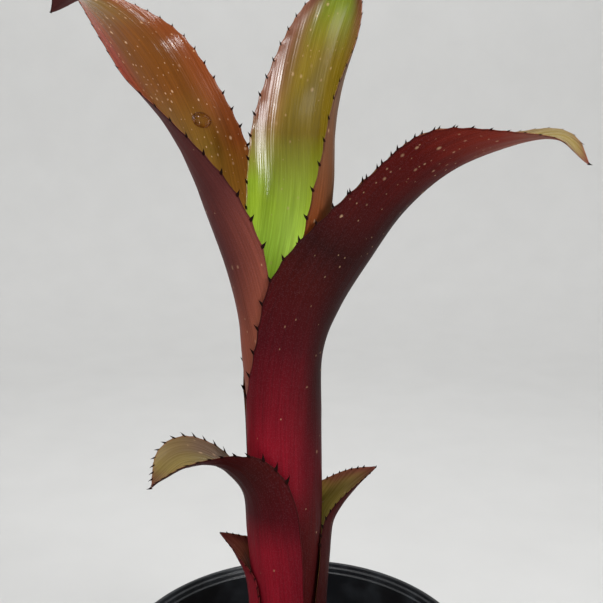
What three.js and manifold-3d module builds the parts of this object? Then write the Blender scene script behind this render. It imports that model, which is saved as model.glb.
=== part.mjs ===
// Potted royal blood billbergia: a tube of nested leaf sheaths in a black nursery pot.
// Millimetres, +Z up. The origin is the centre of the pot's underside, and -Y is the front.
import * as THREE from 'three'
import { mergeVertices } from 'three/addons/utils/BufferGeometryUtils.js'
import Module from 'manifold-3d'

const wasm = await Module()
wasm.setup()

// Pot: a 15 cm nursery pot
const POT_HEIGHT = 132
const RIM_RADIUS = 75
const FOOT_RADIUS = 53
const WALL = 1.6
const SHOULDER_HEIGHT = 108
const SHOULDER_RADIUS = 68.6
const BAND_RADIUS = 71.6
const LIP_HEIGHT = 8
const FOOT_BEVEL = 1.5
const FLOOR = 2
const DRAIN_HOLES = 8
const DRAIN_RADIUS = 4
const DRAIN_CIRCLE = 42
const POT_SEGMENTS = 48

// Potting mix: fills the pot to 30 mm below its rim
const SOIL_TOP = 102
const SOIL_BUMP = 1
const SOIL_SEGMENTS = 36
const FIT_GAP = 0.3

// Crown: the short buried stem that carries the leaves
const CROWN_X = -3
const CROWN_RADIUS = 15.6
const CROWN_TOP = 97.7
const CROWN_BOTTOM = 66
const CROWN_FOOT_RADIUS = 8
const CROWN_SEGMENTS = 32

// Leaves: thickness of a blade, and the height where every sheath is seated on the crown
const BLADE = 0.8
const SHEATH_FOOT = CROWN_TOP + FIT_GAP
const BLADE_STEPS = 3
const SPINE_ROOT = 1.1
const SPINE_HALF_BASE = 1.1
const SPINE_HALF_THICK = 0.34
const SPINE_SWEEP = 0.55

// The tube of sheaths leans a little to the left as it rises: [height, centre x]
const TUBE_LEAN = [
  [SHEATH_FOOT, CROWN_X],
  [150, -3.4],
  [195, -4.5],
  [235, -5.3],
]

const COLOURS = {
  pot: 0x17181a,
  soil: 0x3a2a20,
  crown: 0x8a6a48,
  maroon: 0x5c1626,
  plum: 0x6a3030,
  green: 0x7c8a2a,
  dry: 0x9a5a2c,
}

// A row of a leaf is [x, y, z, roll, half width, half angle]: the point on its keel, the turn
// of the blade about its keel, half the width across its curve, and half the arc it wraps.
// wrap gives such a row where the leaf is still a sheath round the tube.
function wrap(height, radius, azimuth, halfAngle) {
  let i = 1
  while (i < TUBE_LEAN.length - 1 && TUBE_LEAN[i][0] < height) i++
  const [z0, x0] = TUBE_LEAN[i - 1]
  const [z1, x1] = TUBE_LEAN[i]
  const centre = x0 + ((x1 - x0) * (height - z0)) / (z1 - z0)
  const a = THREE.MathUtils.degToRad(azimuth)
  const halfWidth = radius * THREE.MathUtils.degToRad(halfAngle)
  return [centre + radius * Math.cos(a), radius * Math.sin(a), height, 0, halfWidth, halfAngle]
}

// Each leaf: the side its keel faces, its sheath as [height, radius, half angle], its blade's
// rows, and its marginal spines, which stand closer and closer towards the tip.
const LEAVES = [
  {
    name: 'leaf_right',
    azimuth: 8,
    colour: COLOURS.maroon,
    columns: 15,
    sheath: [
      [SHEATH_FOOT, 9.2, 165],
      [150, 12, 170],
      [195, 14.2, 172],
      [215, 14.5, 171],
      [235, 14.7, 170],
    ],
    blade: [
      [9.5, 1, 260, 2, 38, 133],
      [16.5, -1, 278, -12, 39.5, 111],
      [27.5, -1, 296, -15, 35, 99],
      [40, -1.5, 314, -16, 29, 85],
      [56, -4.5, 328.5, -18, 28, 76],
      [75.5, -9, 337.5, -21, 19.5, 30],
      [92.5, -13, 340.5, -10, 10, 12],
      [102, -16.5, 331.5, 8, 0.6, 20],
    ],
    spines: { from: 4.4, wide: 10.5, close: 4.5, length: 2.4 },
  },
  {
    name: 'leaf_left',
    azimuth: 180,
    colour: COLOURS.plum,
    columns: 15,
    sheath: [
      [SHEATH_FOOT, 7.8, 165],
      [150, 10.6, 168],
      [195, 12.8, 166],
      [215, 13.1, 160],
      [235, 13.3, 152],
    ],
    blade: [
      [-20.5, -1, 260, -5, 29.5, 120],
      [-21.5, -0.5, 275.5, -11, 26, 100],
      [-26, 3, 292, -9, 27.5, 96],
      [-34, 11, 313.5, -13, 28, 80],
      [-42, 20, 338, -28, 26.5, 51],
      [-52.5, 28, 359, -38, 25, 30],
      [-64, 32.5, 376.5, -39, 22.5, 27],
      [-76.5, 38, 389, -33, 17, 27],
      [-89, 43, 395.5, -24, 10, 35],
      [-101, 48.5, 391, -6, 0.6, 40],
    ],
    spines: { from: 7, wide: 10.5, close: 4, length: 2.3 },
  },
  {
    name: 'leaf_centre',
    azimuth: 70,
    colour: COLOURS.green,
    columns: 15,
    sheath: [
      [SHEATH_FOOT, 6.4, 160],
      [150, 9.2, 162],
      [195, 11.4, 148],
      [215, 11.7, 142],
      [235, 11.9, 136],
    ],
    blade: [
      [-1.5, 9, 263.5, -4, 29.5, 137],
      [1, 7.5, 285, -14, 31.5, 131],
      [4.5, 9, 304, -15, 32, 121],
      [6.5, 11.5, 323, -17, 30.5, 107],
      [6.5, 13.5, 342, -16, 26, 88],
      [9, 18, 360, -11, 21.5, 76],
      [13, 21, 377.5, -1, 16.5, 64],
      [17.5, 23, 392.5, 6, 9.5, 52],
      [20, 21.5, 406.5, 8, 0.6, 45],
    ],
    spines: { from: 6.7, wide: 10.5, close: 3.8, length: 2.2 },
  },
  {
    name: 'leaf_low_left',
    azimuth: 205,
    colour: COLOURS.maroon,
    columns: 11,
    sheath: [[SHEATH_FOOT, 11.7, 92], [135, 13.6, 92]],
    blade: [
      [-16.6, -5.6, 163, -1, 23.2, 92],
      [-18.4, -6, 186, -1, 24.2, 89],
      [-19.8, -6, 203, -3, 23.5, 73],
      [-26.5, -4, 211.5, -5, 18.5, 45],
      [-34.5, -4, 216, -20, 15.5, 35],
      [-44, -6, 217, -32, 13.5, 38],
      [-51, -10.5, 213, -24, 8, 36],
      [-55.5, -12.5, 209, -14, 0.6, 38],
    ],
    spines: { from: 4.1, wide: 6.2, close: 2.6, length: 3 },
  },
  {
    name: 'leaf_low_right',
    azimuth: 35,
    colour: COLOURS.maroon,
    columns: 10,
    sheath: [[SHEATH_FOOT, 13, 84], [130, 15, 82]],
    blade: [
      [9.6, 8.6, 153.5, -4, 21, 77],
      [10.9, 10, 172.5, -4, 20, 74],
      [13.2, 11.5, 185.5, -9, 16, 73],
      [18, 11.5, 193.5, -13, 11.5, 73],
      [24.5, 12, 201, -9, 6, 63],
      [32.5, 12.5, 207, -5, 0.6, 53],
    ],
    spines: { from: 3.4, wide: 3.6, close: 2.4, length: 1.7 },
  },
  {
    name: 'leaf_base_left',
    azimuth: 155,
    colour: COLOURS.maroon,
    columns: 9,
    sheath: [[SHEATH_FOOT, 14.6, 72], [125, 16.6, 72]],
    blade: [
      [-18.3, 5.6, 144, 7, 20, 61],
      [-18.9, 4.6, 158.5, 12, 17.5, 56],
      [-21, 5, 168, 12, 14, 59],
      [-25, 5.5, 175, 2, 6, 52],
      [-31.5, 7, 180.5, 0, 0.6, 48],
    ],
    spines: { from: 3.2, wide: 3.4, close: 2.4, length: 1 },
  },
  {
    name: 'bract_dry',
    azimuth: -28,
    colour: COLOURS.dry,
    columns: 7,
    sheath: [[SHEATH_FOOT, 14.6, 40], [125, 16.6, 34]],
    blade: [
      [12.2, -8.9, 143, 0, 7, 24],
      [13.4, -9.8, 157, 0, 0.6, 12],
    ],
    spines: null,
  },
]

function solid(geometry) {
  const bare = new THREE.BufferGeometry()
  bare.setAttribute('position', geometry.getAttribute('position'))
  bare.setIndex(geometry.getIndex())
  const merged = mergeVertices(bare, 1e-4)
  return new wasm.Manifold(
    new wasm.Mesh({
      numProp: 3,
      vertProperties: new Float32Array(merged.getAttribute('position').array),
      triVerts: new Uint32Array(merged.getIndex().array),
    }),
  )
}

function geometryOf(manifold) {
  const mesh = manifold.getMesh()
  const geometry = new THREE.BufferGeometry()
  geometry.setAttribute('position', new THREE.BufferAttribute(new Float32Array(mesh.vertProperties), 3))
  geometry.setIndex(new THREE.BufferAttribute(new Uint32Array(mesh.triVerts), 1))
  geometry.computeVertexNormals()
  return geometry
}

function named(name, geometry, colour, roughness) {
  const material = new THREE.MeshStandardMaterial({ color: colour, roughness, metalness: 0 })
  const mesh = new THREE.Mesh(geometry, material)
  mesh.name = name
  return mesh
}

// A profile of [radius, height] points turned about the Z axis.
function turned(profile, segments) {
  const points = profile.map(([r, z]) => new THREE.Vector2(r, z))
  const geometry = new THREE.LatheGeometry(points, segments)
  geometry.deleteAttribute('normal')
  geometry.deleteAttribute('uv')
  return geometry.rotateX(Math.PI / 2)
}

function potInnerRadius(height) {
  const rise = (height - FLOOR) / (SHOULDER_HEIGHT - FLOOR)
  return FOOT_RADIUS - WALL + rise * (SHOULDER_RADIUS - FOOT_RADIUS)
}

function pot() {
  const bandFoot = SHOULDER_HEIGHT + WALL
  const lipFoot = POT_HEIGHT - LIP_HEIGHT
  const body = solid(turned([
    [0, 0],
    [FOOT_RADIUS - FOOT_BEVEL, 0],
    [FOOT_RADIUS, FOOT_BEVEL],
    [SHOULDER_RADIUS, SHOULDER_HEIGHT],
    [BAND_RADIUS - 1, bandFoot + 0.6],
    [BAND_RADIUS, lipFoot],
    [RIM_RADIUS - 0.8, lipFoot + 0.6],
    [RIM_RADIUS, lipFoot + 2],
    [RIM_RADIUS, POT_HEIGHT - 1.4],
    [RIM_RADIUS - 1, POT_HEIGHT],
    [RIM_RADIUS - 3, POT_HEIGHT],
    [RIM_RADIUS - 4.2, POT_HEIGHT - 1.2],
    [BAND_RADIUS - WALL, lipFoot - 1],
    [BAND_RADIUS - WALL - 0.8, bandFoot + 2.2],
    [SHOULDER_RADIUS - WALL, SHOULDER_HEIGHT],
    [potInnerRadius(FLOOR), FLOOR],
    [0, FLOOR],
  ], POT_SEGMENTS))
  const drains = []
  for (let i = 0; i < DRAIN_HOLES; i++) {
    const angle = (2 * Math.PI * i) / DRAIN_HOLES
    const cutter = new THREE.CylinderGeometry(DRAIN_RADIUS, DRAIN_RADIUS, 3 * FLOOR, 16)
    cutter.rotateX(Math.PI / 2)
    cutter.translate(DRAIN_CIRCLE * Math.cos(angle), DRAIN_CIRCLE * Math.sin(angle), FLOOR / 2)
    drains.push(solid(cutter))
  }
  return named('pot', geometryOf(body.subtract(wasm.Manifold.union(drains))), COLOURS.pot, 0.45)
}

// Height of the crumbly top of the mix above its mean level.
function soilBump(x, y) {
  const wave = Math.sin(0.31 * x + 1) * Math.cos(0.27 * y) + 0.6 * Math.sin(0.17 * x - 0.39 * y)
  return SOIL_BUMP * wave
}

function pottingMix() {
  const bottom = FLOOR + FIT_GAP
  const edge = potInnerRadius(SOIL_TOP) - FIT_GAP
  const rings = [1, 0.88, 0.75, 0.62, 0.5, 0.4, 0.3].map((part) => [edge * part, SOIL_TOP])
  const geometry = turned([
    [0, bottom],
    [potInnerRadius(bottom) - FIT_GAP, bottom],
    [potInnerRadius(SOIL_TOP - 3) - FIT_GAP, SOIL_TOP - 3],
    ...rings,
    [0, SOIL_TOP],
  ], SOIL_SEGMENTS)
  const position = geometry.getAttribute('position')
  for (let i = 0; i < position.count; i++) {
    const x = position.getX(i)
    const y = position.getY(i)
    if (position.getZ(i) < SOIL_TOP - 1 || Math.hypot(x, y) > edge * 0.95) continue
    position.setZ(i, position.getZ(i) + soilBump(x, y))
  }
  const holeRadius = CROWN_RADIUS + FIT_GAP
  const hole = new THREE.CylinderGeometry(holeRadius, holeRadius, SOIL_TOP, CROWN_SEGMENTS)
  hole.rotateX(Math.PI / 2)
  hole.translate(CROWN_X, 0, CROWN_BOTTOM - FIT_GAP + SOIL_TOP / 2)
  return named('potting_mix', geometryOf(solid(geometry).subtract(solid(hole))), COLOURS.soil, 0.95)
}

function crown() {
  const geometry = turned([
    [0, CROWN_BOTTOM],
    [CROWN_FOOT_RADIUS, CROWN_BOTTOM],
    [0.8 * CROWN_RADIUS, CROWN_BOTTOM + 9],
    [CROWN_RADIUS, CROWN_BOTTOM + 20],
    [CROWN_RADIUS, CROWN_TOP],
    [0, CROWN_TOP],
  ], CROWN_SEGMENTS)
  const mesh = named('crown', geometryOf(solid(geometry)), COLOURS.crown, 0.8)
  mesh.position.x = CROWN_X
  return mesh
}

// Uniform Catmull-Rom through the rows, with the ends mirrored.
function rowAt(rows, t) {
  const last = rows.length - 1
  const i = Math.min(Math.floor(t), last - 1)
  const f = t - i
  const pick = (k, c) => {
    if (k < 0) return 2 * rows[0][c] - rows[1][c]
    if (k > last) return 2 * rows[last][c] - rows[last - 1][c]
    return rows[k][c]
  }
  return rows[0].map((_, c) => {
    const [a, b, d, e] = [pick(i - 1, c), pick(i, c), pick(i + 1, c), pick(i + 2, c)]
    const square = (2 * a - 5 * b + 4 * d - e) * f ** 2
    const cube = (3 * b - a - 3 * d + e) * f ** 3
    return 0.5 * (2 * b + (d - a) * f + square + cube)
  })
}

// The keel line of a leaf with a frame at each step: along it, towards the inner face, and across.
// The frame is carried along the keel without twist, then turned by the row's roll.
function frames(leaf) {
  const rows = [
    ...leaf.sheath.map(([z, radius, halfAngle]) => wrap(z, radius, leaf.azimuth, halfAngle)),
    ...leaf.blade,
  ]
  const sheathRows = leaf.sheath.length
  const times = []
  for (let i = 0; i < rows.length - 1; i++) {
    const steps = i < sheathRows - 1 ? 1 : BLADE_STEPS
    for (let k = 0; k < steps; k++) times.push(i + k / steps)
  }
  times.push(rows.length - 1)
  const steps = times.map((t) => {
    const [x, y, z, roll, halfWidth, halfAngle] = rowAt(rows, t)
    return {
      time: t,
      keel: new THREE.Vector3(x, y, z),
      roll: THREE.MathUtils.degToRad(roll),
      halfWidth: Math.max(halfWidth, 0.6),
      halfAngle: THREE.MathUtils.degToRad(Math.max(halfAngle, 8)),
    }
  })
  const azimuth = THREE.MathUtils.degToRad(leaf.azimuth)
  let inward = new THREE.Vector3(-Math.cos(azimuth), -Math.sin(azimuth), 0)
  steps.forEach((step, i) => {
    const before = steps[Math.max(i - 1, 0)].keel
    const after = steps[Math.min(i + 1, steps.length - 1)].keel
    step.along = i === 0 ? new THREE.Vector3(0, 0, 1) : after.clone().sub(before).normalize()
    if (i > 0) {
      const chord = step.keel.clone().sub(steps[i - 1].keel).normalize()
      const carried = inward.clone().reflect(chord)
      const tangent = steps[i - 1].along.clone().reflect(chord)
      const turn = step.along.clone().sub(tangent)
      inward = turn.lengthSq() > 1e-12 ? carried.reflect(turn.normalize()) : carried
    }
    const across = step.along.clone().cross(inward)
    const cos = Math.cos(step.roll)
    const sin = Math.sin(step.roll)
    step.inward = inward.clone().multiplyScalar(cos).addScaledVector(across, sin)
    step.across = across.clone().multiplyScalar(cos).addScaledVector(inward, -sin)
  })
  return steps
}

// A point of the blade: side runs from -1 at one margin to 1 at the other, lift is off its middle.
function bladePoint(step, side, lift) {
  const angle = step.halfAngle * side
  const radius = step.halfWidth / step.halfAngle
  const normal = step.inward.clone().multiplyScalar(Math.cos(angle))
  normal.addScaledVector(step.across, -Math.sin(angle))
  return step.keel
    .clone()
    .addScaledVector(step.inward, radius * (1 - Math.cos(angle)))
    .addScaledVector(step.across, radius * Math.sin(angle))
    .addScaledVector(normal, lift)
}

// The closed shell of a blade, split into triangles alike on both faces.
function bladeGeometry(steps, columns) {
  const rows = steps.length
  const points = []
  for (const lift of [-BLADE / 2, BLADE / 2]) {
    for (const step of steps) {
      for (let j = 0; j < columns; j++) points.push(bladePoint(step, (2 * j) / (columns - 1) - 1, lift))
    }
  }
  const at = (face, i, j) => (face * rows + i) * columns + j
  const index = []
  const quad = (a, b, c, d) => index.push(a, b, c, a, c, d)
  for (let i = 0; i < rows - 1; i++) {
    for (let j = 0; j < columns - 1; j++) {
      quad(at(0, i, j), at(0, i + 1, j), at(0, i + 1, j + 1), at(0, i, j + 1))
      index.push(at(1, i, j), at(1, i + 1, j + 1), at(1, i + 1, j))
      index.push(at(1, i, j), at(1, i, j + 1), at(1, i + 1, j + 1))
    }
    const end = columns - 1
    quad(at(0, i, 0), at(1, i, 0), at(1, i + 1, 0), at(0, i + 1, 0))
    quad(at(0, i, end), at(0, i + 1, end), at(1, i + 1, end), at(1, i, end))
  }
  for (let j = 0; j < columns - 1; j++) {
    const top = rows - 1
    quad(at(0, 0, j), at(0, 0, j + 1), at(1, 0, j + 1), at(1, 0, j))
    quad(at(0, top, j), at(1, top, j), at(1, top, j + 1), at(0, top, j + 1))
  }
  const geometry = new THREE.BufferGeometry().setFromPoints(points)
  geometry.setIndex(index)
  return geometry
}

// One spine: a three-sided point rooted in the margin and hooked towards the tip.
function spineGeometry(root, outward, along, normal, length) {
  const foot = root.clone().addScaledVector(outward, -SPINE_ROOT)
  const heel = foot.clone().addScaledVector(along, -SPINE_HALF_BASE)
  const toe = foot.clone().addScaledVector(along, SPINE_HALF_BASE)
  const left = toe.clone().addScaledVector(normal, SPINE_HALF_THICK)
  const right = toe.clone().addScaledVector(normal, -SPINE_HALF_THICK)
  const tip = root.clone().addScaledVector(outward, length).addScaledVector(along, length * SPINE_SWEEP)
  const geometry = new THREE.BufferGeometry().setFromPoints([heel, left, right, tip])
  const inside = left.clone().sub(heel).cross(right.clone().sub(heel)).dot(tip.clone().sub(heel)) < 0
  geometry.setIndex(inside ? [0, 1, 2, 0, 3, 1, 1, 3, 2, 2, 3, 0] : [0, 2, 1, 0, 1, 3, 1, 2, 3, 2, 0, 3])
  return geometry
}

// The spines of one margin, set by their distance along it.
function marginSpines(steps, side, { from, wide, close, length }) {
  const edge = steps.map((step) => bladePoint(step, side, 0))
  const lengths = [0]
  for (let i = 1; i < edge.length; i++) lengths.push(lengths[i - 1] + edge[i].distanceTo(edge[i - 1]))
  const start = steps.findIndex((step) => step.time >= from)
  const total = lengths[edge.length - 1]
  const spines = []
  let reach = lengths[start]
  while (reach < total - close) {
    const i = lengths.findIndex((value) => value > reach)
    const part = (reach - lengths[i - 1]) / (lengths[i] - lengths[i - 1])
    const root = edge[i - 1].clone().lerp(edge[i], part)
    const along = edge[i].clone().sub(edge[i - 1]).normalize()
    const inner = bladePoint(steps[i - 1], side * 0.9, 0)
    inner.lerp(bladePoint(steps[i], side * 0.9, 0), part)
    const outward = root.clone().sub(inner)
    outward.addScaledVector(along, -outward.dot(along)).normalize()
    const normal = outward.clone().cross(along).normalize()
    const done = (reach - lengths[start]) / (total - lengths[start])
    spines.push(solid(spineGeometry(root, outward, along, normal, length * (1 - 0.45 * done))))
    reach += wide + (close - wide) * done
  }
  return spines
}

function leafMesh(leaf) {
  const steps = frames(leaf)
  let body = solid(bladeGeometry(steps, leaf.columns))
  if (leaf.spines) {
    const spines = [-1, 1].flatMap((side) => marginSpines(steps, side, leaf.spines))
    body = wasm.Manifold.union([body, ...spines])
  }
  return named(leaf.name, geometryOf(body), leaf.colour, 0.5)
}

const plant = new THREE.Group()
plant.add(crown(), ...LEAVES.map(leafMesh))

const model = new THREE.Group()
model.add(pot(), pottingMix(), plant)

export default model
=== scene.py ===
"""Looks of a potted royal blood billbergia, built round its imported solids.

Sizes and colours sit in property groups, each piece or group of like pieces has an operator,
and main() runs the operators in order. Metres, +Z up, -Y is the front, and the origin is the
centre of the pot's underside.
"""

import math

import bpy
import numpy as np
from bpy.props import FloatProperty, FloatVectorProperty, IntProperty, PointerProperty
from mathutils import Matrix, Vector, noise


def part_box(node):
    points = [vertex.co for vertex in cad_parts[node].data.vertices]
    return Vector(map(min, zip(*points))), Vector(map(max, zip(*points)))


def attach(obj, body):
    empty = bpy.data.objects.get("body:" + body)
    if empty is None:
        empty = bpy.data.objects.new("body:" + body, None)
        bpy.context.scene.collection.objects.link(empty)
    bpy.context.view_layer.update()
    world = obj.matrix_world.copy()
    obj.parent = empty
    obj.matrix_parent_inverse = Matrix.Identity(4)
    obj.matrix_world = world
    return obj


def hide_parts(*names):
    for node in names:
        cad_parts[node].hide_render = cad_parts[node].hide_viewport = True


bl_info = {
    "name": "Potted Royal Blood Billbergia",
    "version": (1, 0, 0),
    "blender": (4, 5, 0),
    "location": "3D View > Sidebar > Billbergia",
    "description": "Finishes a packed potted billbergia: leaves, spines, potting mix, pot and stage",
    "category": "Add Mesh",
}

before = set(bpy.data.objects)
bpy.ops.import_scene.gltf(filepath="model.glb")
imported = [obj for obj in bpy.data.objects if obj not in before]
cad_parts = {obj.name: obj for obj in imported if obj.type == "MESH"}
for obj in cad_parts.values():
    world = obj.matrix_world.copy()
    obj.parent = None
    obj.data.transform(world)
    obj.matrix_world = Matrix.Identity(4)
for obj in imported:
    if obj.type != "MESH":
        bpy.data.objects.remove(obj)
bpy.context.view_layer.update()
BODY = "root"
MM = 0.001
MATHS = "ShaderNodeMath"
VECTORS = "ShaderNodeVectorMath"
# Its inputs are told apart by index: 0 is the factor, 4 and 5 the vectors, 6 and 7 the colours
BLEND = "ShaderNodeMix"

# The pot's section in mm, as its solid is built, and the level of the mix in it
FLOOR = 2
FOOT_RADIUS = 53
SHOULDER = 108
SHOULDER_RADIUS = 68.6
BAND_RADIUS = 71.6
LIP = 8
MIX_LEVEL = 102

POT_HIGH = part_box("pot")[1]
MIX_LOW, MIX_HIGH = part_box("potting_mix")
CROWN_LOW, CROWN_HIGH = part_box("crown")
CROWN_X = (CROWN_LOW.x + CROWN_HIGH.x) / 2 / MM
CROWN_TOP = CROWN_HIGH.z / MM
CROWN_RADIUS = (CROWN_HIGH.x - CROWN_LOW.x) / 2 / MM
FIT_GAP = 0.3

# The tube of sheaths leans a little to the left as it rises: (height, centre x), in mm
SHEATH_FOOT = CROWN_TOP + FIT_GAP
TUBE_LEAN = ((SHEATH_FOOT, CROWN_X), (150, -3.4), (195, -4.5), (235, -5.3))

# Each leaf in mm and degrees, as its solid is built. A sheath row is (height, radius, half
# angle) round the tube. A blade row is (x, y, z, roll, half width, half angle): the point on
# the keel, the turn about it, half the width across the curve, and half the arc it wraps.
# Spines are (first row, widest spacing, closest spacing, length).
LEAVES = {
    "leaf_right": {
        "azimuth": 8,
        "slot": "leaf_maroon",
        "sheath": (
            (SHEATH_FOOT, 9.2, 165), (150, 12, 170), (195, 14.2, 172),
            (215, 14.5, 171), (235, 14.7, 170),
        ),
        "blade": (
            (9.5, 1, 260, 2, 38, 133), (16.5, -1, 278, -12, 39.5, 111),
            (27.5, -1, 296, -15, 35, 99), (40, -1.5, 314, -16, 29, 85),
            (56, -4.5, 328.5, -18, 28, 76), (75.5, -9, 337.5, -21, 19.5, 30),
            (92.5, -13, 340.5, -10, 10, 12), (102, -16.5, 331.5, 8, 0.6, 20),
        ),
        "spines": (4.4, 10.5, 4.5, 2.4),
    },
    "leaf_left": {
        "azimuth": 180,
        "slot": "leaf_rust",
        "sheath": (
            (SHEATH_FOOT, 7.8, 165), (150, 10.6, 168), (195, 12.8, 166),
            (215, 13.1, 160), (235, 13.3, 152),
        ),
        "blade": (
            (-20.5, -1, 260, -5, 29.5, 120), (-21.5, -0.5, 275.5, -11, 26, 100),
            (-26, 3, 292, -9, 27.5, 96), (-34, 11, 313.5, -13, 28, 80),
            (-42, 20, 338, -28, 26.5, 51), (-52.5, 28, 359, -38, 25, 30),
            (-64, 32.5, 376.5, -39, 22.5, 27), (-76.5, 38, 389, -33, 17, 27),
            (-89, 43, 395.5, -24, 10, 35), (-101, 48.5, 391, -6, 0.6, 40),
        ),
        "spines": (7, 10.5, 4, 2.3),
    },
    "leaf_centre": {
        "azimuth": 70,
        "slot": "leaf_green",
        "sheath": (
            (SHEATH_FOOT, 6.4, 160), (150, 9.2, 162), (195, 11.4, 148),
            (215, 11.7, 142), (235, 11.9, 136),
        ),
        "blade": (
            (-1.5, 9, 263.5, -4, 29.5, 137), (1, 7.5, 285, -14, 31.5, 131),
            (4.5, 9, 304, -15, 32, 121), (6.5, 11.5, 323, -17, 30.5, 107),
            (6.5, 13.5, 342, -16, 26, 88), (9, 18, 360, -11, 21.5, 76),
            (13, 21, 377.5, -1, 16.5, 64), (17.5, 23, 392.5, 6, 9.5, 52),
            (20, 21.5, 406.5, 8, 0.6, 45),
        ),
        "spines": (6.7, 10.5, 3.8, 2.2),
    },
    "leaf_low_left": {
        "azimuth": 205,
        "slot": "leaf_maroon",
        "sheath": ((SHEATH_FOOT, 11.7, 92), (135, 13.6, 92)),
        "blade": (
            (-16.6, -5.6, 163, -1, 23.2, 92), (-18.4, -6, 186, -1, 24.2, 89),
            (-19.8, -6, 203, -3, 23.5, 73), (-26.5, -4, 211.5, -5, 18.5, 45),
            (-34.5, -4, 216, -20, 15.5, 35), (-44, -6, 217, -32, 13.5, 38),
            (-51, -10.5, 213, -24, 8, 36), (-55.5, -12.5, 209, -14, 0.6, 38),
        ),
        "spines": (4.1, 6.2, 2.6, 3),
    },
    "leaf_low_right": {
        "azimuth": 35,
        "slot": "leaf_maroon",
        "sheath": ((SHEATH_FOOT, 13, 84), (130, 15, 82)),
        "blade": (
            (9.6, 8.6, 153.5, -4, 21, 77), (10.9, 10, 172.5, -4, 20, 74),
            (13.2, 11.5, 185.5, -9, 16, 73), (18, 11.5, 193.5, -13, 11.5, 73),
            (24.5, 12, 201, -9, 6, 63), (32.5, 12.5, 207, -5, 0.6, 53),
        ),
        "spines": (3.4, 3.6, 2.4, 1.7),
    },
    "leaf_base_left": {
        "azimuth": 155,
        "slot": "leaf_maroon",
        "sheath": ((SHEATH_FOOT, 14.6, 72), (125, 16.6, 72)),
        "blade": (
            (-18.3, 5.6, 144, 7, 20, 61), (-18.9, 4.6, 158.5, 12, 17.5, 56),
            (-21, 5, 168, 12, 14, 59), (-25, 5.5, 175, 2, 6, 52),
            (-31.5, 7, 180.5, 0, 0.6, 48),
        ),
        "spines": (3.2, 3.4, 2.4, 1),
    },
    "bract_dry": {
        "azimuth": -28,
        "slot": "bract",
        "sheath": ((SHEATH_FOOT, 14.6, 40), (125, 16.6, 34)),
        "blade": ((12.2, -8.9, 143, 0, 7, 24), (13.4, -9.8, 157, 0, 0.6, 12)),
        "spines": None,
    },
}

# How a face takes light: (smoothest, roughest, specular level, sheen, scales shown)
SATIN = (0.42, 0.6, 0.04, 0.01, 0.035)
WAXY = (0.2, 0.36, 0.1, 0.0, 0.01)
POLISHED = (0.12, 0.22, 0.1, 0.0, 0.01)
GLOSSY_THROAT = (0.18, 0.3, 0.38, 0.0, 0.01)
FACES = {"outer": SATIN, "inner": WAXY}

# The horny margin of each face, as its colour and the most of it that shows, and how strongly
# the boldest flecks cover the face
MARGINS = {"outer": ("cherry", 0.8), "inner": ("rose", 0.8)}
FLECK_DEPTH = {"outer": 0.36, "inner": 0.48}

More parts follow.
